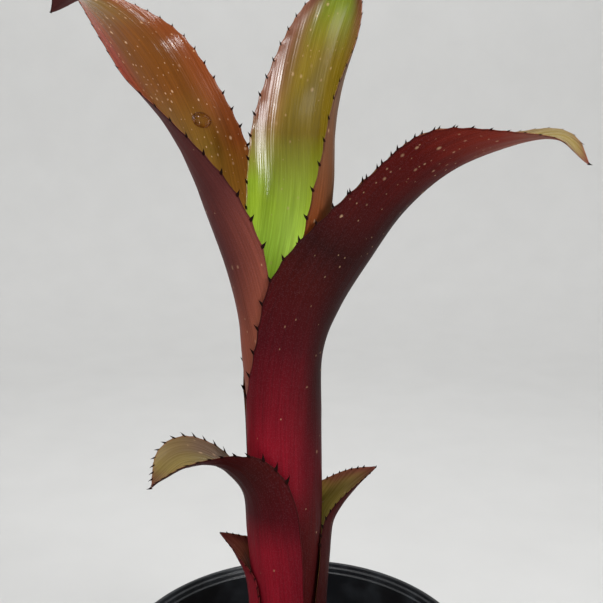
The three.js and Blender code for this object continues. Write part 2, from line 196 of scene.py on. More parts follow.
# Colours along each face of a leaf: (row, name in LeafSettings), for the middle of the face,
# its low margin, where side is -1, and its high margin, where side is 1. Flecks are
# (row, share of the places where one may stand). Blend is where across the face a margin's
# colour starts and is full, gloss is how it takes light where FACES doesn't hold, and swell is
# (row, share) of the low side's flattening.
SKINS = {
    "leaf_right": {
        "outer": {
            # Painted shade: black cherry in the middle and on the low side darkens the hollow under the
            # arch, over the leaf's own dark red
            "middle": (
                (0, "wine"), (1.8, "maroon"), (3, "wine"), (4.6, "cherry"), (8, "cherry"),
                (9.2, "mahogany"), (10.2, "brick"),
            ),
            "low": ((0, "wine"), (4, "cherry"), (7.4, "cherry"), (9, "mahogany"), (12, "tip_red")),
            # Painted light and shade: crimson on the high side is the tube's lit front, and wine here and
            # below is its shaded side
            "high": (
                (0, "maroon"), (1.6, "maroon"), (2.6, "crimson"), (3.6, "crimson"), (5.2, "wine"),
                (6.2, "maroon"), (6.8, "cherry"), (7.6, "maroon"), (8.8, "mahogany"), (9.9, "ember"),
                (10.4, "brick"), (12, "brick"),
            ),
            "flecks": ((0, 0.06), (5, 0.08), (7, 0.5), (9, 1), (12, 0.8)),
            "blend": (0.2, 0.7),
        },
        "inner": {
            "middle": ((0, "olive"), (10.4, "olive"), (11.5, "straw"), (12, "tip_red")),
            "low": ((0, "rust"), (9, "rust"), (11, "straw"), (12, "tip_red")),
            "high": ((0, "rust"), (9, "rust"), (11, "straw"), (12, "tip_red")),
            "flecks": ((0, 0.3), (12, 0.3)),
        },
    },
    "leaf_left": {
        "outer": {
            "middle": ((0, "wine"), (4, "brick"), (5.4, "brick"), (7, "plum"), (14, "plum")),
            # Painted light: clay lightens the low side beside the tube, where the right leaf shades it
            "low": ((0, "wine"), (3.4, "clay"), (5, "clay"), (6, "brick"), (8, "plum"), (14, "plum")),
            "high": ((0, "wine"), (4, "plum"), (14, "plum")),
            "flecks": ((0, 0.1), (14, 0.25)),
        },
        "inner": {
            # Painted light: ochre lightens the lower part of the blade, which lies in shade
            "middle": (
                (0, "olive"), (6.5, "ochre"), (8, "ochre"), (8.9, "amber"), (10, "rust"), (11.4, "rust"),
                (12.5, "amber"), (14, "tip_red"),
            ),
            "low": (
                (0, "olive"), (8, "ochre"), (9.2, "ember"), (11, "ember"), (12.8, "rose"), (14, "tip_red"),
            ),
            "high": ((0, "ochre"), (8, "ochre"), (9, "russet"), (12.5, "russet"), (14, "tip_red")),
            "flecks": ((0, 0.2), (7, 0.3), (9, 1), (14, 0.9)),
            "blend": (0.35, 1.0),
            "gloss": POLISHED,
        },
    },
    "leaf_centre": {
        "outer": {
            "middle": ((0, "wine"), (7, "mauve"), (13, "mauve")),
            "low": ((0, "wine"), (7, "mauve"), (13, "mauve")),
            "high": ((0, "wine"), (7, "russet"), (10, "mauve"), (13, "mauve")),
            "flecks": ((0, 0.1), (13, 0.2)),
        },
        "inner": {
            # Painted light and shade: lime brightens the shaded depth of the throat, and leaf green darkens
            # its lit walls
            "middle": (
                (0, "lime"), (6.7, "lime"), (7.5, "green"), (9, "olive"), (10.6, "olive"), (11.8, "moss"),
            ),
            "low": (
                (0, "lime"), (6, "lime"), (7, "leaf"), (8, "leaf"), (9.2, "rose"), (11.4, "rose"),
                (13, "tip_red"),
            ),
            "high": (
                (0, "lime"), (5.6, "leaf"), (8, "leaf"), (9.5, "olive"), (11.3, "rose"), (13, "tip_red"),
            ),
            "flecks": ((0, 0.1), (8, 0.3), (10, 0.5), (13, 0.8)),
            "gloss": GLOSSY_THROAT,
            "swell": ((6.9, 0), (7.7, 1), (9, 1), (9.5, 0.6), (10.8, 0.6), (12, 0)),
        },
    },
    "leaf_low_left": {
        "outer": {
            # Painted light and shade: crimson, garnet and wine give this leaf's lower part its lit, half-lit
            # and shaded red
            "middle": ((0, "crimson"), (2.8, "crimson"), (3.6, "wine"), (4.4, "maroon"), (9, "maroon")),
            "low": ((0, "garnet"), (2.8, "garnet"), (3.6, "wine"), (4.4, "maroon"), (9, "maroon")),
            "high": ((0, "cherry"), (3, "cherry"), (4, "maroon"), (9, "maroon")),
            "flecks": ((0, 0.15), (9, 0.1)),
        },
        "inner": {
            "middle": ((0, "olive"), (5, "straw"), (7.6, "straw"), (9, "tip_red")),
            "low": ((0, "olive"), (5, "rose"), (7, "straw"), (9, "tip_red")),
            "high": ((0, "olive"), (4.4, "mauve"), (6.4, "mauve"), (7.8, "straw"), (9, "tip_red")),
            "blend": (0.1, 0.6),
            "flecks": ((0, 0.1), (9, 0.3)),
        },
    },
    "leaf_low_right": {
        "outer": {
            "middle": ((0, "cherry"), (7, "maroon")),
            "low": ((0, "cherry"), (7, "maroon")),
            "high": ((0, "cherry"), (7, "maroon")),
            "flecks": ((0, 0.1), (7, 0.1)),
        },
        "inner": {
            "middle": ((0, "moss"), (4, "amber_green"), (5.6, "straw"), (7, "tip_red")),
            "low": ((0, "moss"), (4, "amber_green"), (5.4, "rose"), (7, "tip_red")),
            "high": ((0, "moss"), (4, "amber_green"), (5.4, "straw"), (7, "tip_red")),
            "flecks": ((0, 0.1), (7, 0.4)),
        },
    },
    "leaf_base_left": {
        "outer": {
            "middle": ((0, "crimson"), (3, "crimson"), (6, "maroon")),
            "low": ((0, "crimson"), (3, "crimson"), (6, "maroon")),
            "high": ((0, "wine"), (6, "maroon")),
            "flecks": ((0, 0.1), (6, 0.1)),
        },
        "inner": {
            "middle": ((0, "clay"), (4.6, "clay"), (6, "tip_red")),
            "low": ((0, "rose"), (6, "tip_red")),
            "high": ((0, "rose"), (6, "tip_red")),
            "flecks": ((0, 0.1), (6, 0.2)),
        },
    },
}


def linear(hex_colour):
    """An sRGB hex colour as linear red, green, blue and alpha."""
    parts = [int(hex_colour[i:i + 2], 16) / 255 for i in (1, 3, 5)]
    return (*(c / 12.92 if c <= 0.04045 else ((c + 0.055) / 1.055) ** 2.4 for c in parts), 1.0)


def colour(name, text, hex_colour):
    """A colour property with its default given as sRGB hex."""
    return FloatVectorProperty(
        name=name, description=text, subtype="COLOR", size=4, min=0, max=1, default=linear(hex_colour)
    )


def length(name, text, millimetres):
    """A length property with its default given in millimetres."""
    return FloatProperty(name=name, description=text, unit="LENGTH", precision=5, default=millimetres * MM)


class PotSettings(bpy.types.PropertyGroup):
    """Sizes and colours of the nursery pot"""

    height: length("Height", "Foot to lip", POT_HIGH.z / MM)
    rim: length("Rim radius", "Outer radius of the rolled lip", POT_HIGH.x / MM)
    foot: length("Foot radius", "Outer radius of the underside", FOOT_RADIUS)
    wall: length("Wall", "Thickness of the moulded wall", 1.6)
    segments: IntProperty(name="Segments", description="Faces round the pot", default=144)
    plastic: colour("Plastic", "Black recycled polypropylene", "#101317")
    dust: colour("Dust", "Film of dust in the scuffs", "#5C646C")


class MixSettings(bpy.types.PropertyGroup):
    """Grains and colours of the potting mix"""

    chip: length("Bark chip", "Longest side of a bark chip", 7)
    grit: length("Grit", "Width of a grain of perlite", 3.2)
    seed: IntProperty(name="Seed", description="Fixed draw of the scatter", default=11)
    bark: colour("Bark", "Composted pine bark", "#4A3022")
    perlite: colour("Perlite", "Expanded white perlite", "#D8D2C4")
    humus: colour("Humus", "Moist peat and coir between the chips", "#2A1C14")


class LeafSettings(bpy.types.PropertyGroup):
    """Sizes and colours of the leaves, their spines and the crown"""

    thickness: length("Thickness", "Blade thickness over its middle", 0.78)
    pitch: length("Mesh pitch", "Step of the mesh along a leaf", 1.3)
    columns: IntProperty(name="Columns", description="Columns of faces across one face", default=48)
    relief: length("Fold relief", "Height of the shallow folds along a blade", 0.09)
    tooth: length("Tooth", "How far the margin rises to each spine", 0.8)
    spine_base: length("Spine base", "Half the length of a spine's root on the margin", 1.1)
    spine_thick: length("Spine thickness", "Half the thickness of a spine", 0.4)
    hook: FloatProperty(name="Hook", description="How far a spine leans to the tip", default=0.6)
    # Painted light and shade: crimson, garnet and wine are lit, half-lit and shaded copies of the tube's red
    crimson: colour("Crimson", "Lit front of the tube", "#7A111F")
    garnet: colour("Garnet", "Turn of the tube away from the light", "#5E0C17")
    wine: colour("Wine", "Shaded side of the tube", "#440A10")
    maroon: colour("Maroon", "Underside of the arching blades", "#380C0A")
    # Black cherry is the leaves' own near-black red on margins and spine roots, and painted shade where it
    # darkens the hollow under the arching blade
    cherry: colour("Black cherry", "Darkest hollow under an arching blade", "#260A08")
    mahogany: colour("Mahogany", "Upper margin of the right blade", "#480E0A")
    ember: colour("Ember", "Warmer crest of the right blade", "#72261A")
    brick: colour("Brick", "Brown side of the left sheath", "#7E4232")
    # Painted light: clay is a lighter brown that offsets the shade the right leaf casts beside the tube
    clay: colour("Clay", "Outer face of the left leaf beside the tube", "#9A5A44")
    plum: colour("Plum", "Outer face of the left blade", "#522725")
    mauve: colour("Mauve", "Outer face of the centre leaf", "#66503E")
    rust: colour("Rust", "Inner face of the left blade", "#5E340A")
    russet: colour("Russet", "Redder far margin of the left blade", "#6E3410")
    amber: colour("Amber", "Olive brown along the left blade", "#604614")
    # Painted light: ochre is the inner face's olive brown lightened where the lower left blade lies in shade
    ochre: colour("Ochre", "Lower part of the inner face of the left leaf", "#A0702A")
    olive: colour("Olive", "Middle of the centre leaf", "#76620E")
    # Painted light and shade in the centre leaf's throat: lime is its green brightened in the shaded depth,
    # as if lit through the leaf, and leaf green is a darker copy on the walls the lights reach
    lime: colour("Lime", "Glowing depth of the centre leaf's throat", "#C4E65C")
    leaf: colour("Leaf green", "Lit wall of the centre leaf's throat", "#7E9626")
    green: colour("Green", "Throat of the centre leaf", "#A4BE3C")
    amber_green: colour("Amber green", "Inner face of the small right leaf", "#A89440")
    moss: colour("Moss", "Top of the centre leaf", "#6C7814")
    straw: colour("Straw", "Inner face of the short leaves", "#7A6838")
    rose: colour("Rose brown", "Flushed margin of an inner face", "#7A4A34")
    tip_red: colour("Tip red", "Dark tip of each leaf", "#5A2224")
    fleck: colour("Fleck", "Cream spots scattered on a blade", "#DEB890")
    scale: colour("Scale", "Silvery leaf scales", "#B09AA8")
    horn: colour("Horn", "Dark horny point of a spine", "#160806")
    bract: colour("Bract", "Dry papery scale leaf", "#8A5A30")
    cork: colour("Cork", "Corky skin of the crown", "#7A5A3C")


class DropSettings(bpy.types.PropertyGroup):
    """Place and size of the water drop, and the leaf's colour painted into its rim"""

    row: FloatProperty(name="Row", description="Row of the left blade where the drop sits", default=9.4)
    side: FloatProperty(name="Side", description="Place across the blade, from -1 to 1", default=0.44)
    width: length("Width", "Width of the drop across the leaf", 9)
    length: length("Length", "Length of the drop along the leaf", 7)
    height: length("Height", "How far the drop stands off the leaf", 1.6)
    # Painted refraction: the leaf's colour as the rim would show it, not a colour of the water
    tint: colour("Tint", "The leaf's colour gathered in the drop's rim", "#C08A58")


class StageSettings(bpy.types.PropertyGroup):
    """The camera, and the paper behind the plant"""

    eye: FloatVectorProperty(
        name="Eye", description="Where the camera stands", unit="LENGTH", default=(0.00195, -0.309, 0.341)
    )
    tilt: FloatProperty(
        name="Tilt", description="Camera tilt below the horizon", subtype="ANGLE", default=math.radians(11.3)
    )
    lens: FloatProperty(name="Lens", description="Focal length on a 36 mm sensor, in mm", default=49.43)
    paper: colour("Paper", "Matt pale background paper", "#CDCDCC")
    reach: length("Reach", "Radius where the floor starts to rise into the wall", 900)


SETTINGS = {
    "billbergia_pot": PotSettings,
    "billbergia_mix": MixSettings,
    "billbergia_leaf": LeafSettings,
    "billbergia_drop": DropSettings,
    "billbergia_stage": StageSettings,
}


def node(tree, kind, inputs=None, stops=None, **settings):
    """Adds a node: settings are its properties, stops its colour ramp, inputs values or links."""
    made = tree.nodes.new(kind)
    for name, value in settings.items():
        setattr(made, name, value)
    if stops:
        elements = made.color_ramp.elements
        while len(elements) < len(stops):
            elements.new(1.0)
        for element, (position, shade) in zip(elements, stops):
            element.position = position
            element.color = shade
    for name, value in (inputs or {}).items():
        if isinstance(value, bpy.types.Node):
            value = next(socket for socket in value.outputs if socket.enabled)
        if isinstance(value, bpy.types.NodeSocket):
            tree.links.new(value, made.inputs[name])
        else:
            made.inputs[name].default_value = value
    return made


def material(name):
    """An empty material with its surface shader, as (material, tree, shader)."""
    made = bpy.data.materials.new(name)
    made.use_nodes = True
    tree = made.node_tree
    tree.nodes.clear()
    shader = node(tree, "ShaderNodeBsdfPrincipled")
    node(tree, "ShaderNodeOutputMaterial", {"Surface": shader.outputs["BSDF"]})
    return made, tree, shader


def mesh_object(name, points, faces, skin=None):
    """A smooth mesh object at the origin from points in metres and faces that point outwards."""
    mesh = bpy.data.meshes.new(name)
    mesh.from_pydata([tuple(p) for p in points], [], [tuple(int(i) for i in f) for f in faces])
    mesh.polygons.foreach_set("use_smooth", [True] * len(mesh.polygons))
    mesh.update()
    piece = bpy.data.objects.new(name, mesh)
    bpy.context.scene.collection.objects.link(piece)
    if skin:
        mesh.materials.append(skin)
    return piece


def keep(piece, replaced=None):
    """Ties a finished piece to the frame."""
    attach(piece, BODY)
    if replaced:
        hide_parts(replaced)


def point_values(mesh, title, values):
    """Stores a number or a direction for each point of a mesh."""
    values = np.array(values, np.float32)
    kind, field = ("FLOAT", "value") if values.ndim == 1 else ("FLOAT_VECTOR", "vector")
    mesh.attributes.new(title, kind, "POINT").data.foreach_set(field, values.ravel())


def grown(name, seeds, tree, inputs):
    """Runs a node tree on a mesh and keeps the result as a plain mesh object."""
    piece = bpy.data.objects.new(name, seeds)
    bpy.context.scene.collection.objects.link(piece)
    modifier = piece.modifiers.new(name, "NODES")
    modifier.node_group = tree
    for item in tree.interface.items_tree:
        if item.item_type == "SOCKET" and item.in_out == "INPUT" and item.name in inputs:
            modifier[item.identifier] = inputs[item.name]
    graph = bpy.context.evaluated_depsgraph_get()
    mesh = bpy.data.meshes.new_from_object(piece.evaluated_get(graph))
    piece.modifiers.remove(modifier)
    piece.data = mesh
    mesh.name = name
    return piece


def node_group(name, sockets):
    """A geometry tree with named inputs, as (tree, its input node)."""
    tree = bpy.data.node_groups.new(name, "GeometryNodeTree")
    tree.interface.new_socket("Geometry", in_out="OUTPUT", socket_type="NodeSocketGeometry")
    tree.interface.new_socket("Geometry", in_out="INPUT", socket_type="NodeSocketGeometry")
    for title, kind, default in sockets:
        socket = tree.interface.new_socket(title, in_out="INPUT", socket_type=f"NodeSocket{kind}")
        if default is not None:
            socket.default_value = default
    return tree, node(tree, "NodeGroupInput")


def rounded(corners, arc_steps=4):
    """An outline of (radius, height, fillet) corners with each corner's fillet as an arc."""
    points = []
    for i, (x, z, fillet) in enumerate(corners):
        here = Vector((x, z))
        if not fillet or i in (0, len(corners) - 1):
            points.append(here)
            continue
        before = Vector(corners[i - 1][:2]) - here
        after = Vector(corners[i + 1][:2]) - here
        cut = min(fillet, 0.45 * before.length, 0.45 * after.length)
        start = here + before.normalized() * cut
        end = here + after.normalized() * cut
        for k in range(arc_steps + 1):
            t = k / arc_steps
            points.append(start * (1 - t) ** 2 + here * (2 * t * (1 - t)) + end * t ** 2)
    return points


def turned(outline, segments):
    """Points and outward faces of an outline that starts and ends on the axis, turned about Z."""
    points = [(0, 0, outline[0].y)]
    for p in outline[1:-1]:
        for k in range(segments):
            angle = 2 * math.pi * k / segments
            points.append((p.x * math.cos(angle), p.x * math.sin(angle), p.y))
    points.append((0, 0, outline[-1].y))
    rings = len(outline) - 2
    last = len(points) - 1
    faces = []
    for k in range(segments):
        n = (k + 1) % segments
        faces.append((0, 1 + n, 1 + k))
        faces.append((last, last - segments + k, last - segments + n))
        for i in range(rings - 1):
            low = 1 + i * segments
            high = low + segments
            faces.append((low + k, low + n, high + n, high + k))
    return points, faces


def wrap(height, radius, azimuth, half_angle):
    """A blade row where the leaf is still a sheath round the leaning tube."""
    heights, centres = zip(*TUBE_LEAN)
    centre = np.interp(height, heights, centres)
    a = math.radians(azimuth)
    half_width = radius * math.radians(half_angle)
    return (centre + radius * math.cos(a), radius * math.sin(a), height, 0, half_width, half_angle)


def spline(table, times):
    """Uniform Catmull-Rom through the rows of a table, with the ends mirrored."""
    padded = np.vstack([2 * table[0] - table[1], table, 2 * table[-1] - table[-2]])
    i = np.minimum(times.astype(int), len(table) - 2)
    f = (times - i)[:, None]
    a, b, d, e = padded[i], padded[i + 1], padded[i + 2], padded[i + 3]
    square = (2 * a - 5 * b + 4 * d - e) * f ** 2
    cube = (3 * b - a - 3 * d + e) * f ** 3
    return 0.5 * (2 * b + (d - a) * f + square + cube)


def unit(vectors):
    """Vectors scaled to length one."""
    return vectors / np.linalg.norm(vectors, axis=-1, keepdims=True)


class Blade:
    """A leaf's keel, in metres, with a frame at each step: along it, inwards and across."""

    LEAST_WIDTH = 0.6
    LEAST_ANGLE = 8

    def __init__(self, leaf, pitch):
        rows = [wrap(z, r, leaf["azimuth"], half) for z, r, half in leaf["sheath"]]
        table = np.array(rows + list(leaf["blade"]), float)
        self.last = len(table) - 1
        chords = np.linalg.norm(np.diff(table[:, :3], axis=0), axis=1) * MM
        counts = np.ceil(chords / pitch).astype(int)
        steps = [i + np.arange(n) / n for i, n in enumerate(counts)]
        self.time = np.concatenate(steps + [[self.last]])
        values = spline(table, self.time)
        self.keel = values[:, :3] * MM
        self.half_width = np.maximum(values[:, 4], self.LEAST_WIDTH) * MM
        self.half_angle = np.radians(np.maximum(values[:, 5], self.LEAST_ANGLE))
        self.reach = np.concatenate([[0], np.cumsum(np.linalg.norm(np.diff(self.keel, axis=0), axis=1))])
        self.turn_frames(leaf["azimuth"], np.radians(values[:, 3]))

    def turn_frames(self, azimuth, roll):
        """Carries the inward direction along the keel without twist, then rolls it."""
        ahead = np.vstack([self.keel[1:], self.keel[-1:]])
        behind = np.vstack([self.keel[:1], self.keel[:-1]])
        self.along = unit(ahead - behind)
        self.along[0] = (0, 0, 1)
        a = math.radians(azimuth)
        inward = np.array([-math.cos(a), -math.sin(a), 0.0])
        carried = [inward]
        for i in range(1, len(self.keel)):
            chord = unit(self.keel[i] - self.keel[i - 1])
            reflected = inward - 2 * (inward @ chord) * chord
            tangent = self.along[i - 1] - 2 * (self.along[i - 1] @ chord) * chord
            turn = self.along[i] - tangent
            if turn @ turn > 1e-12:
                turn = unit(turn)
                reflected = reflected - 2 * (reflected @ turn) * turn
            inward = reflected
            carried.append(inward)
        carried = np.array(carried)
        across = np.cross(self.along, carried)
        cos, sin = np.cos(roll)[:, None], np.sin(roll)[:, None]
        self.inward = carried * cos + across * sin
        self.across = across * cos - carried * sin

    def surface(self, sides):
        """Middle surface and inward normals at every step, for sides of shape (steps, columns)."""
        angle = self.half_angle[:, None] * sides
        radius = (self.half_width / self.half_angle)[:, None, None]
        cos, sin = np.cos(angle)[..., None], np.sin(angle)[..., None]
        inward, across = self.inward[:, None], self.across[:, None]
        points = self.keel[:, None] + radius * (inward * (1 - cos) + across * sin)
        return points, inward * cos - across * sin

    def place(self, reaches, sides):
        """Middle surface and inward normals at free places, each a reach and a side."""
        points, normals = self.surface(np.tile(sides, (len(self.keel), 1)))
        return [
            np.array([
                [np.interp(reach, self.reach, grid[:, j, c]) for c in range(3)]
                for j, reach in enumerate(reaches)
            ]) for grid in (points, normals)
        ]

    def margin(self, side):
        """Points, lengths, tangents and outward directions along one margin."""
        sides = np.full((len(self.keel), 1), float(side))
        edge = self.surface(sides)[0][:, 0]
        inside = self.surface(sides * 0.9)[0][:, 0]
        lengths = np.concatenate([[0], np.cumsum(np.linalg.norm(np.diff(edge, axis=0), axis=1))])
        tangent = unit(np.gradient(edge, axis=0))
        outward = edge - inside
        outward -= (outward * tangent).sum(1, keepdims=True) * tangent
        return edge, lengths, tangent, unit(outward)

    def spine_reaches(self, side, spines):
        """Distances along a margin where spines stand, closer and closer to the tip."""
        first, wide, close, _ = spines
        lengths = self.margin(side)[1]
        start = lengths[np.searchsorted(self.time, first)]
        reach, found = start, []
        while reach < lengths[-1] - close * MM:
            found.append(reach)
            done = (reach - start) / (lengths[-1] - start)
            reach += (wide + (close - wide) * done) * MM
        return np.array(found), start


def margin_teeth(blade, spines, side, height):
    """How far the margin rises at each step, in cusps that meet the spines."""
    if not spines:
        return np.zeros(len(blade.keel))
    cusp_width, narrow = 2.2 * MM, 6 * MM
    lengths = blade.margin(side)[1]
    reaches, _ = blade.spine_reaches(side, spines)
    gap = np.abs(lengths[:, None] - reaches[None]).min(1)
    return height * np.exp(-gap / cusp_width) * np.clip(blade.half_width / narrow, 0, 1)


def blade_walls(blade, leaf, settings, sides):
    """Outer and inner surface of a leaf, each as points of shape (steps, columns, 3)."""
    grid = np.tile(sides, (len(blade.keel), 1))
    middle, normal = blade.surface(grid)
    width = blade.half_width[:, None]
    edge = (1 - np.abs(grid)) * width

    # The blade thins towards its tip and its margins, which are round
    round_zone, thin_zone, tip_zone = 0.45 * MM, 5 * MM, 12 * MM
    round_edge = np.sqrt(1 - (1 - np.minimum(edge / round_zone, 1)) ** 2)
    tip = np.clip((blade.reach[-1] - blade.reach) / tip_zone, 0.35, 1)[:, None]
    thin = 0.62 + 0.38 * np.clip(edge / thin_zone, 0, 1)
    half = 0.5 * settings.thickness * round_edge * thin * tip

    # Shallow folds run along the open blade and wander a little
    fold_pitch, fold_zone, drift_pitch = 4.6 * MM, 6 * MM, 37 * MM
    phase = grid * width / fold_pitch * 2 * math.pi
    drift = 0.8 * np.sin(blade.reach / drift_pitch)[:, None]
    open_blade = np.clip((blade.time - len(leaf["sheath"])) / 1.5, 0, 1)[:, None]
    fold = settings.relief * np.sin(phase + drift) * np.clip(edge / fold_zone, 0, 1) * open_blade

    # The outer quarter of the columns on each side carries the cusps
    cusp_zone, quarter = 2.2 * MM, len(sides) // 4
    for side, columns in ((-1, slice(0, quarter)), (1, slice(-quarter, None))):
        rise = margin_teeth(blade, leaf["spines"], side, settings.tooth)
        outward = blade.margin(side)[3]
        near = np.clip(1 - edge[:, columns] / cusp_zone, 0, 1) ** 1.5
        middle[:, columns] += outward[:, None] * (rise[:, None] * near)[..., None]
    return middle + normal * (fold - half)[..., None], middle + normal * (fold + half)[..., None]


def shell_faces(steps, size, count):
    """Outward faces of a shell: bands between its rings of points, and a cap of strips at each end."""
    faces = []
    for i in range(steps - 1):
        for k in range(size):
            n = (k + 1) % size
            faces.append((i * size + k, (i + 1) * size + k, (i + 1) * size + n, i * size + n))
    top = (steps - 1) * size
    for j in range(count - 1):
        strip = tuple(dict.fromkeys((j, j + 1, size - j - 1, (size - j) % size)))
        faces.append(strip)
        faces.append(tuple(top + i for i in reversed(strip)))
    return faces


def blade_mesh(name, leaf, settings, skins):
    """One leaf as a closed shell with folds along it, thin round margins and a cusp at each spine."""
    blade = Blade(leaf, settings.pitch)
    steps, count = len(blade.keel), settings.columns + 1
    sides = np.sin(np.linspace(-1, 1, count) * math.pi / 2)
    sides[0], sides[-1] = -1, 1
    outer, inner = blade_walls(blade, leaf, settings, sides)
    ring = np.concatenate([outer, inner[:, -2:0:-1]], axis=1)
    size = ring.shape[1]
    faces = shell_faces(steps, size, count)
    piece = mesh_object(name, ring.reshape(-1, 3), faces)
    for skin in skins:
        piece.data.materials.append(skin)
    on_inner = np.tile(np.arange(size) >= count - 1, steps - 1)
    slots = np.concatenate([on_inner, np.zeros(len(faces) - len(on_inner), bool)])
    piece.data.polygons.foreach_set("material_index", (slots * (len(skins) - 1)).astype(np.int32))

    # Skins read the row, the side, the distance to the margin and a flat map of the blade
    ring_side = np.concatenate([sides, sides[-2:0:-1]])
    width = blade.half_width[:, None]
    point_values(piece.data, "row", np.repeat(blade.time / blade.last, size))
    point_values(piece.data, "side", np.tile(ring_side, steps))
    point_values(piece.data, "edge", ((1 - np.abs(ring_side[None])) * width).ravel())
    flat = np.stack([(ring_side[None] * width).ravel(), np.repeat(blade.reach, size)], axis=1)
    corners = np.zeros(len(piece.data.loops), np.int32)
    piece.data.loops.foreach_get("vertex_index", corners)
    layer = piece.data.uv_layers.new(name="blade")
    layer.data.foreach_set("uv", flat[corners].astype(np.float32).ravel())
    return piece


def spine_points(name, blade, spines):
    """A mesh of loose points, one for each spine, with its directions and size as attributes."""
    sink, shrink = 0.1 * MM, 0.45
    points, outwards, alongs, sizes = [], [], [], []
    for side in (-1, 1):
        edge, lengths, tangent, outward = blade.margin(side)
        reaches, start = blade.spine_reaches(side, spines)
        for reach in reaches:
            root, out, along = (
                np.array([np.interp(reach, lengths, values[:, c]) for c in range(3)])
                for values in (edge, outward, tangent)
            )
            points.append(root - out * sink)
            outwards.append(out)
            alongs.append(along)
            sizes.append(1 - shrink * (reach - start) / (lengths[-1] - start))
    points.append(blade.keel[-1] - blade.along[-1] * sink)
    outwards.append(blade.along[-1])
    alongs.append(blade.inward[-1])
    sizes.append(1 - shrink)
    mesh = bpy.data.meshes.new(name)
    mesh.from_pydata([tuple(p) for p in points], [], [])
    point_values(mesh, "outward", outwards)
    point_values(mesh, "along", alongs)
    point_values(mesh, "size", sizes)
    return mesh


def spine_tree():
    """Geometry nodes that stand a hooked spine on each point."""
    tree, given = node_group("Hooked marginal spines", (
        ("Length", "Float", 2 * MM), ("Base", "Float", 1.1 * MM), ("Thickness", "Float", 0.4 * MM),
        ("Hook", "Float", 0.55), ("Horn", "Material", None),
    ))
    cone = node(tree, "GeometryNodeMeshCone", {
        "Vertices": 8, "Side Segments": 6, "Radius Top": 0.02, "Radius Bottom": 1.0, "Depth": 1.0,
    }, fill_type="NGON")
    where = node(tree, "GeometryNodeInputPosition")
    rise = node(tree, "ShaderNodeSeparateXYZ", {0: where}).outputs["Z"]
    girth = node(tree, "ShaderNodeCombineXYZ", {
        "X": given.outputs["Base"], "Y": given.outputs["Thickness"], "Z": given.outputs["Length"],
    })
    straight = node(tree, VECTORS, {0: where, 1: girth}, operation="MULTIPLY")

    # A spine leans more and more towards its point
    bend = node(tree, MATHS, {0: rise, 1: 1.6}, operation="POWER")
    reach = node(tree, MATHS, {0: given.outputs["Hook"], 1: given.outputs["Length"]}, operation="MULTIPLY")
    lean = node(tree, "ShaderNodeCombineXYZ", {
        "X": node(tree, MATHS, {0: bend, 1: reach}, operation="MULTIPLY"),
    })
    shaped = node(tree, VECTORS, {0: straight, 1: lean}, operation="ADD")
    marked = node(tree, "GeometryNodeStoreNamedAttribute", {
        "Geometry": cone.outputs["Mesh"], "Name": "rise", "Value": rise,
    }, data_type="FLOAT", domain="POINT")
    spine = node(tree, "GeometryNodeSetPosition", {"Geometry": marked, "Position": shaped})
    outward, along, size = (
        node(tree, "GeometryNodeInputNamedAttribute", {"Name": title}, data_type=kind)
        for title, kind in (("outward", "FLOAT_VECTOR"), ("along", "FLOAT_VECTOR"), ("size", "FLOAT"))
    )
    turn = node(tree, "FunctionNodeAxesToRotation", {
        "Primary Axis": outward, "Secondary Axis": along,
    }, primary_axis="Z", secondary_axis="X")
    placed = node(tree, "GeometryNodeInstanceOnPoints", {
        "Points": given.outputs["Geometry"], "Instance": spine, "Rotation": turn, "Scale": size,
    })
    solid = node(tree, "GeometryNodeRealizeInstances", {"Geometry": placed})
    smooth = node(tree, "GeometryNodeSetShadeSmooth", {"Geometry": solid})
    dressed = node(tree, "GeometryNodeSetMaterial", {
        "Geometry": smooth, "Material": given.outputs["Horn"],
    })
    node(tree, "NodeGroupOutput", {"Geometry": dressed})
    return tree


